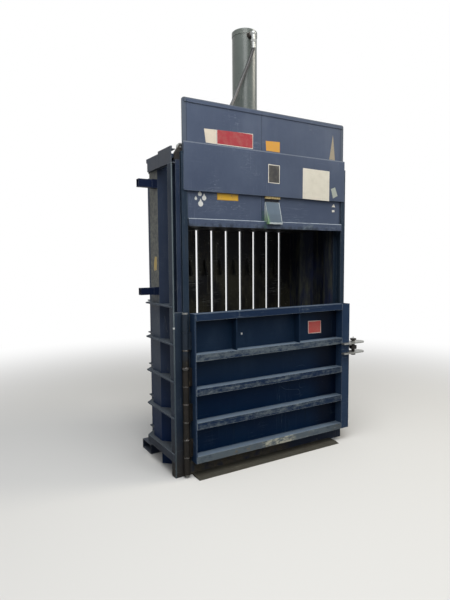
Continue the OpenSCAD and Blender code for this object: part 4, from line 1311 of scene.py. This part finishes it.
@dataclass
class Chamber(SubAssembly):
    """Walls, floor and rear wall, with the welds of the side ribs."""

    coats: ClassVar[Coats] = {
        "wall_paint": ("left_side_wall", "right_side_wall"),
        "side_rib_paint": ("side_ribs",),
        "chamber_steel": ("rear_wall_channels", "retainer_dogs", "floor_plate", "floor_bars"),
        "frame_paint": ("rear_wall_ribs",),
        "base_paint": ("base_sills", "base_joists", "rear_foot"),
        "sill_steel": ("floor_sill",),
    }

    rib_heights: tuple[float, ...] = (0.18, 0.458, 0.736, 1.014, 1.292)
    wall_x: float = 0.770
    column_x: float = 0.862
    column_y: float = 0.080
    foot_y: float = 0.172
    rear_y: float = 0.3475
    channel_pitch: float = 0.156
    cross_heights: tuple[float, ...] = (0.175, 0.453, 0.731, 1.009, 1.980, 2.270)

    def build(self) -> None:
        """Models the weld beads of the side ribs and of the rear wall, and the label."""
        for side in SIDES:
            self.rib_welds(side)
        self.rear_welds()
        self.sticker()

    def rib_welds(self, side: float) -> None:
        """Lays the weld beads under the ribs of one side, along the wall and round the column.

        Args:
            side: -1 for the left side and 1 for the right side.
        """
        bends = ((self.wall_x, -0.300), (self.wall_x, -self.foot_y), (self.column_x, -self.column_y),
                 (self.column_x, self.column_y), (self.wall_x, self.foot_y))
        runs = []
        for z in self.rib_heights:
            places = [(side * (x + 0.001), y, z - 0.005) for x, y in bends]
            runs += [Bench.weld("rib_weld", a, b, width=0.0045) for a, b in zip(places, places[1:])]
        runs[0].name = "left_rib_welds" if side < 0 else "right_rib_welds"
        self.lay(runs, "frame", "side_rib_paint", "worn_navy_paint")

    def rear_welds(self) -> None:
        """Lays short weld beads where the cross channels of the rear wall meet the formed channels."""
        y, half = self.rear_y, 0.03
        beads = []
        for z in self.cross_heights:
            for i in range(10):
                x = max(-0.700, min(0.700, (i - 4.5) * self.channel_pitch))
                for level in (z - 0.001, z + 0.061):
                    beads.append(Bench.weld("rear_welds", (x - half, y, level), (x + half, y, level)))
        self.lay(beads, "frame", "side_rib_paint", "worn_navy_paint")

    def sticker(self) -> None:
        """Lays the yellow label on the left column."""
        corners = ((-0.040, 1.560), (0.016, 1.551), (0.018, 1.600), (-0.004, 1.666), (-0.046, 1.664))
        FilmSticker("column_label", corners, -self.column_x, "frame", shade(176, 148, 70),
                    shade(150, 132, 84), margin=0.006, wear=0.35, under=shade(96, 98, 92),
                    axis=Axis.X).make(self)


@dataclass
class Gate(SubAssembly):
    """The sliding feed gate, its handle, the cross plate and the guides."""

    coats: ClassVar[Coats] = {
        "gate_paint": ("gate_sheet", "gate_rails", "gate_cross_plate"),
        "handle_paint": ("gate_handle",),
        "guide_paint": ("left_gate_guide", "right_gate_guide"),
    }

    face_y: float = -0.383
    plate_y: float = -0.403
    handle_x: float = 0.010

    def stickers(self) -> None:
        """Lays the plain labels on the gate and the cross plate."""
        white, black = shade(214, 210, 198), shade(26, 27, 30)
        red, orange = shade(146, 24, 40), shade(196, 140, 40)
        y, p = self.face_y, self.plate_y
        for sticker in (
            FilmSticker("red_label",
                        ((-0.504, 2.503), (-0.175, 2.503), (-0.174, 2.618), (-0.504, 2.608)), y, "gate",
                        red, white, margin=0.005, wear=0.1),
            FilmSticker("cream_label",
                        ((-0.597, 2.505), (-0.506, 2.503), (-0.506, 2.608), (-0.611, 2.604)), y, "gate",
                        shade(206, 196, 178), white, margin=0.004, wear=0.2),
            FilmSticker("orange_label",
                        ((-0.047, 2.504), (0.089, 2.503), (0.088, 2.586), (-0.052, 2.580)), y, "gate",
                        orange, shade(190, 140, 60), margin=0.004, wear=0.15),
            FilmSticker("tan_wedge", ((0.626, 2.500), (0.692, 2.499), (0.667, 2.714)), y, "gate",
                        shade(140, 130, 110), shade(120, 114, 104), margin=0.002, wear=0.35),
            FilmSticker("yellow_label",
                        ((-0.505, 2.088), (-0.314, 2.090), (-0.313, 2.143), (-0.505, 2.143)), y, "gate",
                        shade(206, 160, 34), shade(150, 116, 30), margin=0.006, wear=0.25),
            FilmSticker("small_white_a", ((0.660, 2.093), (0.702, 2.092), (0.684, 2.120)), y, "gate",
                        white, white, margin=0.001, wear=0.4),
            FilmSticker("small_white_b",
                        ((0.664, 2.048), (0.694, 2.050), (0.692, 2.068), (0.664, 2.066)), y, "gate",
                        white, white, margin=0.001, wear=0.5),
            FilmSticker("black_label",
                        ((-0.042, 2.250), (0.071, 2.247), (0.074, 2.394), (-0.040, 2.396)), p, "frame",
                        black, white, margin=0.007, wear=0.2),
            FilmSticker("white_label", ((0.314, 2.144), (0.610, 2.139), (0.612, 2.393), (0.316, 2.397)),
                        p, "frame", shade(206, 202, 188), white, margin=0.008, wear=0.08),
            FilmSticker("tilted_label",
                        ((0.656, 2.165), (0.709, 2.190), (0.678, 2.262), (0.632, 2.245)), p, "frame",
                        shade(150, 158, 150), shade(176, 180, 172), margin=0.004, wear=0.3),
        ):
            sticker.make(self)

    def drops(self) -> None:
        """Lays the four white drops, round below and pointed above."""
        sides, point = 14, 1.9
        around = [math.radians(90.0 + 360.0 * k / sides) for k in range(sides)]
        parts = []
        for x, z, r in ((-0.652, 2.124, 0.016), (-0.686, 2.089, 0.011), (-0.616, 2.097, 0.018),
                        (-0.646, 2.053, 0.021)):
            corners = [(x + r * math.cos(a), z + r * math.sin(a) * (1.0 if k else point))
                       for k, a in enumerate(around)]
            parts.append(Bench.film("white_drops", corners, self.face_y))
        self.lay(parts, "gate", "sticker_white", "slide_plastic")

    def build(self) -> None:
        """Models the labels and the weld beads of the cross plate and the handle."""
        self.stickers()
        self.drops()
        ends = [side * 0.7915 for side in SIDES]
        welds = [Bench.weld("plate_welds", (x, -0.396, 2.150), (x, -0.396, 2.412), width=0.0045)
                 for x in ends]
        self.lay(welds, "frame", "gate_paint", "navy_paint")
        ends = [self.handle_x + side * 0.0715 for side in SIDES]
        welds = [Bench.weld("handle_welds", (x, -0.3835, 1.948), (x, -0.3835, 2.093), width=0.003)
                 for x in ends]
        self.lay(welds, "gate", "handle_paint", "worn_navy_paint")


@dataclass
class Door(SubAssembly):
    """The ribbed bale door, its hinge and its latch."""

    coats: ClassVar[Coats] = {
        "door_paint": ("door_skin", "door_stiffeners"),
        "rib_paint": ("door_ribs",),
        "stile_paint": ("door_stiles",),
        "hinge_steel": ("door_knuckles", "frame_knuckles"),
        "bright_steel": ("hinge_pin", "latch_ears"),
        "dark_steel": ("latch_pin", "latch_hook", "latch_keeper"),
        "post_paint": ("hinge_post", "hinge_post_web", "hinge_backing_plate"),
    }

    skin_y: float = -0.405
    left: float = -0.748
    right: float = 0.709
    rib_heights: tuple[float, ...] = (0.112, 0.370, 0.628, 0.886, 1.188)
    rib_high: float = 0.052
    rib_front: float = -0.4795
    skin_low: float = 0.113
    skin_high: float = 1.235
    hinge: Point = (-0.808, -0.422, 0.022)
    knuckle: float = 0.135333
    latch: tuple[float, float] = (0.862, -0.464)

    def build(self) -> None:
        """Models the label, the weld beads, the grease of the hinge and the latch's small pieces."""
        corners = ((0.382, 0.994), (0.529, 0.990), (0.525, 1.099), (0.379, 1.104))
        FilmSticker("door_label", corners, self.skin_y, "door", shade(176, 62, 58), shade(206, 186, 176),
                    margin=0.008, wear=0.15, under=shade(30, 42, 70)).make(self)
        self.welds()
        self.hinge_grease()
        self.latch_pieces()

    def welds(self) -> None:
        """Lays the weld beads along the ribs and at their ends."""
        y = self.skin_y - 0.001
        edges = [edge for z in self.rib_heights for edge in (z - 0.001, z + self.rib_high + 0.001)
                 if self.skin_low < edge < self.skin_high]
        runs = [Bench.weld("door_welds", (self.left, y, z), (self.right, y, z), width=0.004)
                for z in edges]
        self.lay(runs, "door", "door_paint", "navy_paint")
        y = self.rib_front
        ends = [Bench.weld("rib_end_welds", (x, y, z + 0.002), (x, y, z + 0.050), width=0.0032)
                for z in self.rib_heights for x in (self.left, self.right)]
        self.lay(ends, "door", "rib_paint", "worn_navy_paint")

    def hinge_grease(self) -> None:
        """Lays the lumps of grease that the hinge's joints have pressed out."""
        x, y, foot = self.hinge
        wire = 0.0036
        sizes = ((0.0262, 0.010), (0.0268, 0.014), (0.0262, 0.010), (0.0266, 0.012), (0.0264, 0.010),
                 (0.0285, 0.022), (0.0265, 0.012))
        lumps = []
        for i, (radius, high) in enumerate(sizes, 1):
            middle = (x, y, foot + i * self.knuckle)
            lump = Bench.ring("hinge_grease", middle, Axis.Z, radius=radius - 0.002, wire=wire,
                              flat=high / (2 * wire), sides=28)
            lumps.append(Bench.roughened(lump, strength=0.0035, size=0.012))
        self.lay(lumps, "frame", "grease", "dark_steel")

    def latch_pieces(self) -> None:
        """Models the washers and the grease nipple of the latch pin."""
        disc = [(0.0, 0.026), (0.0005, 0.0265), (0.0025, 0.0265), (0.003, 0.026)]
        washers = [Bench.turned("latch_washers", (*self.latch, z), UP, disc, sides=32)
                   for z in (0.8902, 0.7868)]
        steps = [(0.0, 0.006), (0.005, 0.006), (0.006, 0.003), (0.011, 0.003), (0.013, 0.0042),
                 (0.015, 0.0038), (0.016, 0.002)]
        nipple = Bench.turned("latch_nipple", (*self.latch, 0.919), UP, steps, sides=16)
        self.lay(washers, "latch", "bright_steel", "bare_steel")
        self.lay(nipple, "latch", "galvanised", "bare_steel")


@dataclass(frozen=True)
class Hose:
    """One oil hose: a smooth tube along the points of its route, crimped at both ends."""

    name: str
    points: Route
    diameter: float
    per_leg: int = 12

    def line(self) -> list[Vector]:
        """Finds the smooth line through the route.

        Returns:
            Its points, close together.
        """
        p = [Vector(q) for q in self.points]
        found = []
        for i in range(len(p) - 1):
            a, b, c, d = p[max(i - 1, 0)], p[i], p[i + 1], p[min(i + 2, len(p) - 1)]
            for k in range(self.per_leg):
                u = k / self.per_leg
                found.append(0.5 * (2 * b + (c - a) * u + (2 * a - 5 * b + 4 * c - d) * u * u
                                    + (3 * b - a - 3 * c + d) * u * u * u))
        return found + [p[-1]]

    def make(self, owner: SubAssembly) -> Piece:
        """Args:
            owner: The sub-assembly that it belongs to.

        Returns:
            The tube.
        """
        line = self.line()
        data = bpy.data.curves.new(self.name, "CURVE")
        data.dimensions = "3D"
        data.bevel_depth = self.diameter / 2
        data.bevel_resolution = 4
        data.use_fill_caps = True
        spline = data.splines.new("POLY")
        spline.points.add(len(line) - 1)
        for point, place in zip(spline.points, line):
            point.co = (*place, 1.0)
        spline.use_smooth = True
        tube = bpy.data.objects.new(self.name, data)
        bpy.context.scene.collection.objects.link(tube)
        owner.lay(tube, "frame", "hose_rubber", "hose_rubber")
        ends = [self.ferrule(line[0], line[3] - line[0]), self.ferrule(line[-1], line[-4] - line[-1])]
        ends[0].name = self.name + "_ferrules"
        ferrules = owner.lay(ends, "frame", "galvanised", "bare_steel")
        length = sum((b - a).length for a, b in zip(line, line[1:]))
        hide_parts("hoses")
        return tube

    def ferrule(self, end: Vector, towards: Vector) -> Piece:
        """Turns one crimped ferrule.

        Args:
            end: The end of the hose.
            towards: The way the hose goes.

        Returns:
            The piece.
        """
        r = self.diameter / 2
        high, low = r + 0.003, r + 0.0018
        crimps = [(0.0, r + 0.0015), (0.001, high)]
        for k in range(4):
            z = 0.006 + 0.008 * k
            crimps += [(z, high), (z + 0.001, low), (z + 0.004, low), (z + 0.005, high)]
        crimps += [(0.044, high), (0.046, r + 0.0006)]
        return Bench.turned(self.name + "_ferrule", tuple(end), tuple(towards), crimps, sides=20)


@dataclass
class Press(SubAssembly):
    """Cylinder, crosshead, platen and power unit."""

    coats: ClassVar[Coats] = {
        "cylinder_paint": ("cylinder_barrel", "cylinder_cap", "cylinder_flange"),
        "dark_steel": ("cylinder_gland", "valve_block", "pulley_bracket", "counterweight"),
        "galvanised": ("flange_bolts", "hose_elbows", "rope_pulley"),
        "hose_rubber": ("hoses",),
        "frame_paint": ("crosshead_beams", "crosshead_deck", "platen_beams", "rope_guard_tube",
                        "oil_tank"),
        "rail_paint": ("top_rails",),
        "bracket_paint": ("side_brackets",),
        "motor_paint": ("motor_pump",),
        "chamber_steel": ("platen_face", "platen_bars", "platen_teeth"),
        "slide_plastic": ("platen_shoes",),
        "ground_rod": ("piston_rod",),
    }

    cap_start: Point = (-0.012, -0.152, 3.429)
    rod_start: Point = (-0.040, -0.152, 2.615)
    cap_end: Point = (-0.330, -0.210, 2.726)
    rod_end: Point = (-0.302, -0.210, 2.726)
    rod_top: float = 2.815
    rod_bend: float = 0.075
    cap_shares: Route = (
        (0.0, 0.0, 0.0), (0.0, 0.0, 0.05), (0.028, -0.1, 0.116), (0.145, -0.32, 0.266),
        (0.296, -0.45, 0.423), (0.478, -0.32, 0.594), (0.66, 0.08, 0.737), (0.805, 0.53, 0.82),
        (0.92, 0.87, 0.886), (0.969, 0.97, 0.923), (0.992, 1.0, 0.956), (1.0, 1.0, 0.991),
        (1.0, 1.0, 1.0))
    tank_low: Point = (-0.650, -0.285, 2.450)
    tank_high: Point = (-0.250, -0.135, 2.656)
    motor: Point = (-0.563, -0.210, 2.656)
    valve: Point = (-0.330, -0.155, 2.691)
    barrel_r: float = 0.106
    beam_top: float = 1.946

    def hoses(self) -> None:
        """Lays the two hoses along the routes of the frame's own hoses."""
        a, b = self.cap_start, self.cap_end
        cap = tuple(tuple(low + part * (high - low) for low, part, high in zip(a, share, b))
                    for share in self.cap_shares)
        Hose("cap_hose", cap, diameter=0.028).make(self)
        a, b, r, top = self.rod_start, self.rod_end, self.rod_bend, self.rod_top

        def arch(x: float, z: float) -> Point:
            """A point above the straight line between the two ends."""
            return (x, a[1] + (b[1] - a[1]) * (x - a[0]) / (b[0] - a[0]), z)

        angles = [math.radians(t) for t in (0, 30, 60, 90)]
        up = [arch(a[0] - r * (1 - math.cos(t)), top - r + r * math.sin(t)) for t in angles]
        down = [arch(b[0] + r * (1 - math.cos(t)), top - r + r * math.sin(t)) for t in reversed(angles)]
        Hose("rod_hose", (a, *up, *down, b), diameter=0.018).make(self)

    def cylinder_details(self) -> None:
        """Lays the weld beads of the cylinder and the port bosses behind the two elbows."""
        beads = [Bench.ring("cylinder_welds", (0.0, 0.0, z), Axis.Z, radius=self.barrel_r + out,
                            wire=wire, flat=flat, sides=72)
                 for z, out, wire, flat in ((3.524, 0.0005, 0.0026, 1.3), (2.479, 0.003, 0.006, 1.0))]
        self.lay(beads, "frame", "cylinder_paint", "grey_green_paint")
        boss = [(0.0, 0.023), (0.002, 0.026), (0.030, 0.028), (0.034, 0.031)]
        ports = [Bench.turned("port_boss", (x, -0.132, z), BACK, boss, sides=28)
                 for x, z in ((-0.012, 3.504), (-0.040, 2.540))]
        self.lay(ports, "frame", "dark_steel", "dark_steel")

    def tank_pieces(self) -> None:
        """Models the tank's rim, filler cap and level gauge, and the bolts of its lid and gauge."""
        low, high = self.tank_low, self.tank_high
        bolts = [Bench.bolt("tank_bolts", (x, y, high[2]), UP, size=0.008)
                 for x in (low[0] + 0.014, -0.45, high[0] - 0.014)
                 for y in (low[1] + 0.012, high[1] - 0.012)]
        rim = Bench.block("tank_rim", (low[0] - 0.004, low[1] - 0.004, high[2] - 0.007),
                          (high[0] + 0.004, high[1] + 0.004, high[2] - 0.001), edge=0.001)
        self.lay(rim, "frame", "frame_paint", "worn_navy_paint")
        steps = [(0.0, 0.026), (0.002, 0.028), (0.014, 0.028), (0.018, 0.025), (0.018, 0.012),
                 (0.016, 0.010)]
        cap = Bench.turned("filler_cap", (-0.420, -0.245, 2.690), UP, steps)
        self.lay(cap, "frame", "black_plastic", "dark_steel")
        x = low[0]
        gauge = Bench.block("level_gauge", (x - 0.008, -0.226, 2.485), (x, -0.200, 2.625),
                            edge=0.003, steps=3)
        window = Bench.block("gauge_window", (x - 0.0095, -0.219, 2.505), (x - 0.006, -0.207, 2.605),
                             edge=0.001)
        bolts += [Bench.bolt("tank_bolts", (x - 0.008, -0.213, z), LEFT, size=0.005)
                  for z in (2.494, 2.616)]
        self.lay(gauge, "frame", "black_plastic", "dark_steel")
        self.lay(window, "frame", "sticker_white", "slide_plastic")
        self.lay(bolts, "frame", "galvanised", "bare_steel")

    def motor_pieces(self) -> None:
        """Models the motor's ribbed cowl and its terminal lid with four screws."""
        x, y, z = self.motor
        steps = [(0.0, 0.068), (0.001, 0.0695), (0.038, 0.0695), (0.046, 0.062), (0.047, 0.05),
                 (0.045, 0.048), (0.047, 0.044), (0.047, 0.034), (0.045, 0.032), (0.047, 0.028),
                 (0.047, 0.012)]
        cowl = Bench.turned("motor_cowl", (x, y, z + 0.128), UP, steps, sides=48)
        self.lay(cowl, "frame", "motor_paint", "grey_green_paint")
        inner, outer = x + 0.087, x + 0.093
        lid = Bench.block("terminal_lid", (inner, y - 0.031, z + 0.084),
                          (outer, y + 0.031, z + 0.146), edge=0.002)
        self.lay(lid, "frame", "motor_paint", "grey_green_paint")
        screws = [Bench.bolt("terminal_screws", (outer, y + across, z + up), RIGHT, size=0.004)
                  for across in (-0.024, 0.024) for up in (0.091, 0.139)]
        self.lay(screws, "frame", "galvanised", "bare_steel")

    def valve_coils(self) -> None:
        """Models the two coils on the ends of the valve."""
        x, y, z = self.valve
        steps = [(0.0, 0.018), (0.001, 0.0195), (0.034, 0.0195), (0.036, 0.017), (0.036, 0.008),
                 (0.044, 0.008), (0.045, 0.006)]
        coils = [Bench.turned("valve_coils", (x + side * 0.030, y, z), (side, 0.0, 0.0), steps)
                 for side in SIDES]
        self.lay(coils, "frame", "black_plastic", "dark_steel")

    def platen_welds(self) -> None:
        """Lays the weld beads between the platen's beams and its face."""
        z = self.beam_top
        runs = [Bench.weld("platen_welds", (-0.72, side * 0.161, z), (0.72, side * 0.161, z))
                for side in SIDES]
        runs.append(Bench.ring("hub_weld", (0.0, 0.0, z + 0.001), Axis.Z, radius=0.103, wire=0.005,
                               sides=64))
        self.lay(runs, "platen", "frame_paint", "navy_paint")

    def build(self) -> None:
        """Models the hoses and the press's small pieces."""
        self.hoses()
        self.cylinder_details()
        self.tank_pieces()
        self.motor_pieces()
        self.valve_coils()
        self.platen_welds()


@dataclass
class Controls(SubAssembly):
    """The control box on the right column."""

    coats: ClassVar[Coats] = {
        "box_paint": ("control_box", "control_cover"),
        "green_plastic": ("start_button",),
        "red_plastic": ("stop_button",),
    }

    face: float = 0.9995
    button_y: tuple[float, float] = (-0.05, 0.05)
    button_z: float = 1.710

    def build(self) -> None:
        """Models the button rims, blank plates, lock, cable gland and rain lip."""
        face, z = self.face, self.button_z
        rims = [Bench.ring("button_rims", (face + 0.0002, y, z), Axis.X, radius=0.0150, wire=0.0022,
                           flat=0.4, sides=32)
                for y in self.button_y]
        self.lay(rims, "control_cover", "galvanised", "bare_steel")
        plates = [Bench.block("blank_plates", (face - 0.0002, y - 0.024, 1.742),
                              (face + 0.0010, y + 0.024, 1.762), edge=0.0004) for y in self.button_y]
        self.lay(plates, "control_cover", "sticker_white", "slide_plastic")
        steps = [(0.0, 0.011), (0.002, 0.011), (0.003, 0.009), (0.003, 0.006), (0.001, 0.0055)]
        lock = Bench.turned("cover_lock", (face - 0.0005, -0.108, 1.610), RIGHT, steps)
        self.lay(lock, "control_cover", "galvanised", "bare_steel")
        steps = [(0.0, 0.014), (0.008, 0.014), (0.009, 0.011), (0.022, 0.011), (0.026, 0.008),
                 (0.026, 0.005), (0.022, 0.004)]
        gland = Bench.turned("cable_gland", (0.930, 0.060, 1.421), DOWN, steps, sides=6, smooth=20.0)
        self.lay(gland, "frame", "black_plastic", "dark_steel")
        lip = Bench.block("box_rim", (0.9870, -0.1302, 1.7985), (0.9958, 0.1280, 1.8005), edge=0.0006)
        self.lay(lip, "frame", "box_paint", "grey_paint")


# The studio


@dataclass(frozen=True)
class Studio:
    """Camera, floor and light. The angles are in degrees, the lens and the film in millimetres."""

    eye: Point = (-2.368, -3.615, 1.630)
    yaw: float = 30.80
    pitch: float = 4.65
    roll: float = -0.43
    lens: float = 29.1
    film: float = 36.0
    floor_half: float = 60.0

    def camera(self) -> None:
        """Sets the camera at the photograph's viewing angle."""
        yaw, pitch, roll = (math.radians(a) for a in (self.yaw, self.pitch, self.roll))
        right = Vector((math.cos(yaw), -math.sin(yaw), 0.0))
        level = math.cos(pitch)
        ahead = Vector((math.sin(yaw) * level, math.cos(yaw) * level, -math.sin(pitch)))
        up = right.cross(ahead)
        across = math.cos(roll) * right + math.sin(roll) * up
        above = -math.sin(roll) * right + math.cos(roll) * up
        data = bpy.data.cameras.new("camera")
        data.sensor_fit = "VERTICAL"
        data.sensor_height = data.sensor_width = self.film
        data.lens = self.lens
        data.clip_end = 200.0
        obj = bpy.data.objects.new("camera", data)
        turn = Matrix((across, above, -ahead)).transposed().to_4x4()
        obj.matrix_world = Matrix.Translation(self.eye) @ turn
        bpy.context.scene.collection.objects.link(obj)
        bpy.context.scene.camera = obj

    def floor(self) -> None:
        """Lays the plain pale floor, which fades to the white background far from the machine."""
        Bench.clear()
        bpy.ops.mesh.primitive_plane_add(size=2.0 * self.floor_half, location=(0.0, 0.0, -0.0005))
        obj = Bench.settle(Bench.named("studio_floor"))
        r = Recipe("studio_floor")
        r.colour = shade(206, 206, 204)
        r.finish(0.9, specular=0.1)
        away = r.value("ShaderNodeVectorMath", {"operation": "LENGTH"}, {0: r.place}, "Value")
        white = r.node("ShaderNodeEmission", None, {"Color": WHITE, "Strength": 1.0})
        dull = r.node("ShaderNodeBsdfDiffuse", None, {"Color": shade(140, 138, 134)})
        pale = self.mixed(r, away.step(2.2, 6.5), r.shader, white)
        r.feed(r.output, {"Surface": self.mixed(r, r.seen(), dull, pale).outputs[0]})
        obj.data.materials.append(r.material)

    def world(self) -> None:
        """Makes the white background and the soft light from all round."""
        world = bpy.data.worlds.new("studio")
        bpy.context.scene.world = world
        world.use_nodes = True
        g = Graph(world.node_tree)
        soft = {"Color": (0.97, 0.98, 1.0, 1.0), "Strength": 0.34}
        light = g.node("ShaderNodeBackground", None, soft)
        white = g.node("ShaderNodeBackground", None, {"Color": WHITE})
        both = self.mixed(g, g.seen(), light, white)
        g.node("ShaderNodeOutputWorld", None, {0: both.outputs[0]})

    @staticmethod
    def mixed(graph: Graph, mask: Value, under: bpy.types.Node, over: bpy.types.Node) -> bpy.types.Node:
        """Lays one shader over another.

        Args:
            graph: The graph to add to.
            mask: Where the upper shader shows.
            under: The lower shader.
            over: The upper shader.

        Returns:
            The node.
        """
        inputs = {0: mask, 1: under.outputs[0], 2: over.outputs[0]}
        return graph.node("ShaderNodeMixShader", None, inputs)

    def lamp(self, name: str, place: Point, size: float, power: float, aim: Point = (0.0, 0.0, 1.3),
             tint: Point = (1.0, 1.0, 1.0)) -> None:
        """Adds one soft square lamp.

        Args:
            name: Its name.
            place: Where it hangs.
            size: Its side in metres.
            power: Its power in watts.
            aim: The point that it looks at.
            tint: Its colour.
        """
        data = bpy.data.lights.new(name, "AREA")
        data.color = tint
        data.size = size
        data.energy = power
        obj = bpy.data.objects.new(name, data)
        obj.location = place
        obj.rotation_mode = "QUATERNION"
        obj.rotation_quaternion = (Vector(aim) - Vector(place)).to_track_quat("-Z", "Y")
        bpy.context.scene.collection.objects.link(obj)

    def build(self) -> None:
        """Sets up the whole studio."""
        self.camera()
        self.floor()
        self.world()
        self.lamp("ceiling", (-0.9, -1.9, 6.6), size=4.0, power=310.0)
        self.lamp("front", (-2.6, -5.2, 5.4), size=3.0, power=145.0, aim=(0.0, 0.0, 2.3))
        self.lamp("right", (4.4, -2.2, 5.6), size=2.0, power=170.0, aim=(0.0, 0.0, 3.4),
                  tint=(1.0, 0.92, 0.78))
        bpy.context.scene.view_settings.view_transform = "Standard"


def main() -> None:
    """Builds the studio and every sub-assembly."""
    logging.basicConfig(level=logging.INFO, format="%(message)s")
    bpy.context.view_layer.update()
    Studio().build()
    finishes = Finishes()
    parts: list[SubAssembly] = [Press(finishes), Chamber(finishes), Gate(finishes), Door(finishes),
                                Controls(finishes)]
    for part in parts:
        part.dress()
        part.build()
        part.report()


if __name__ == "__main__":
    main()
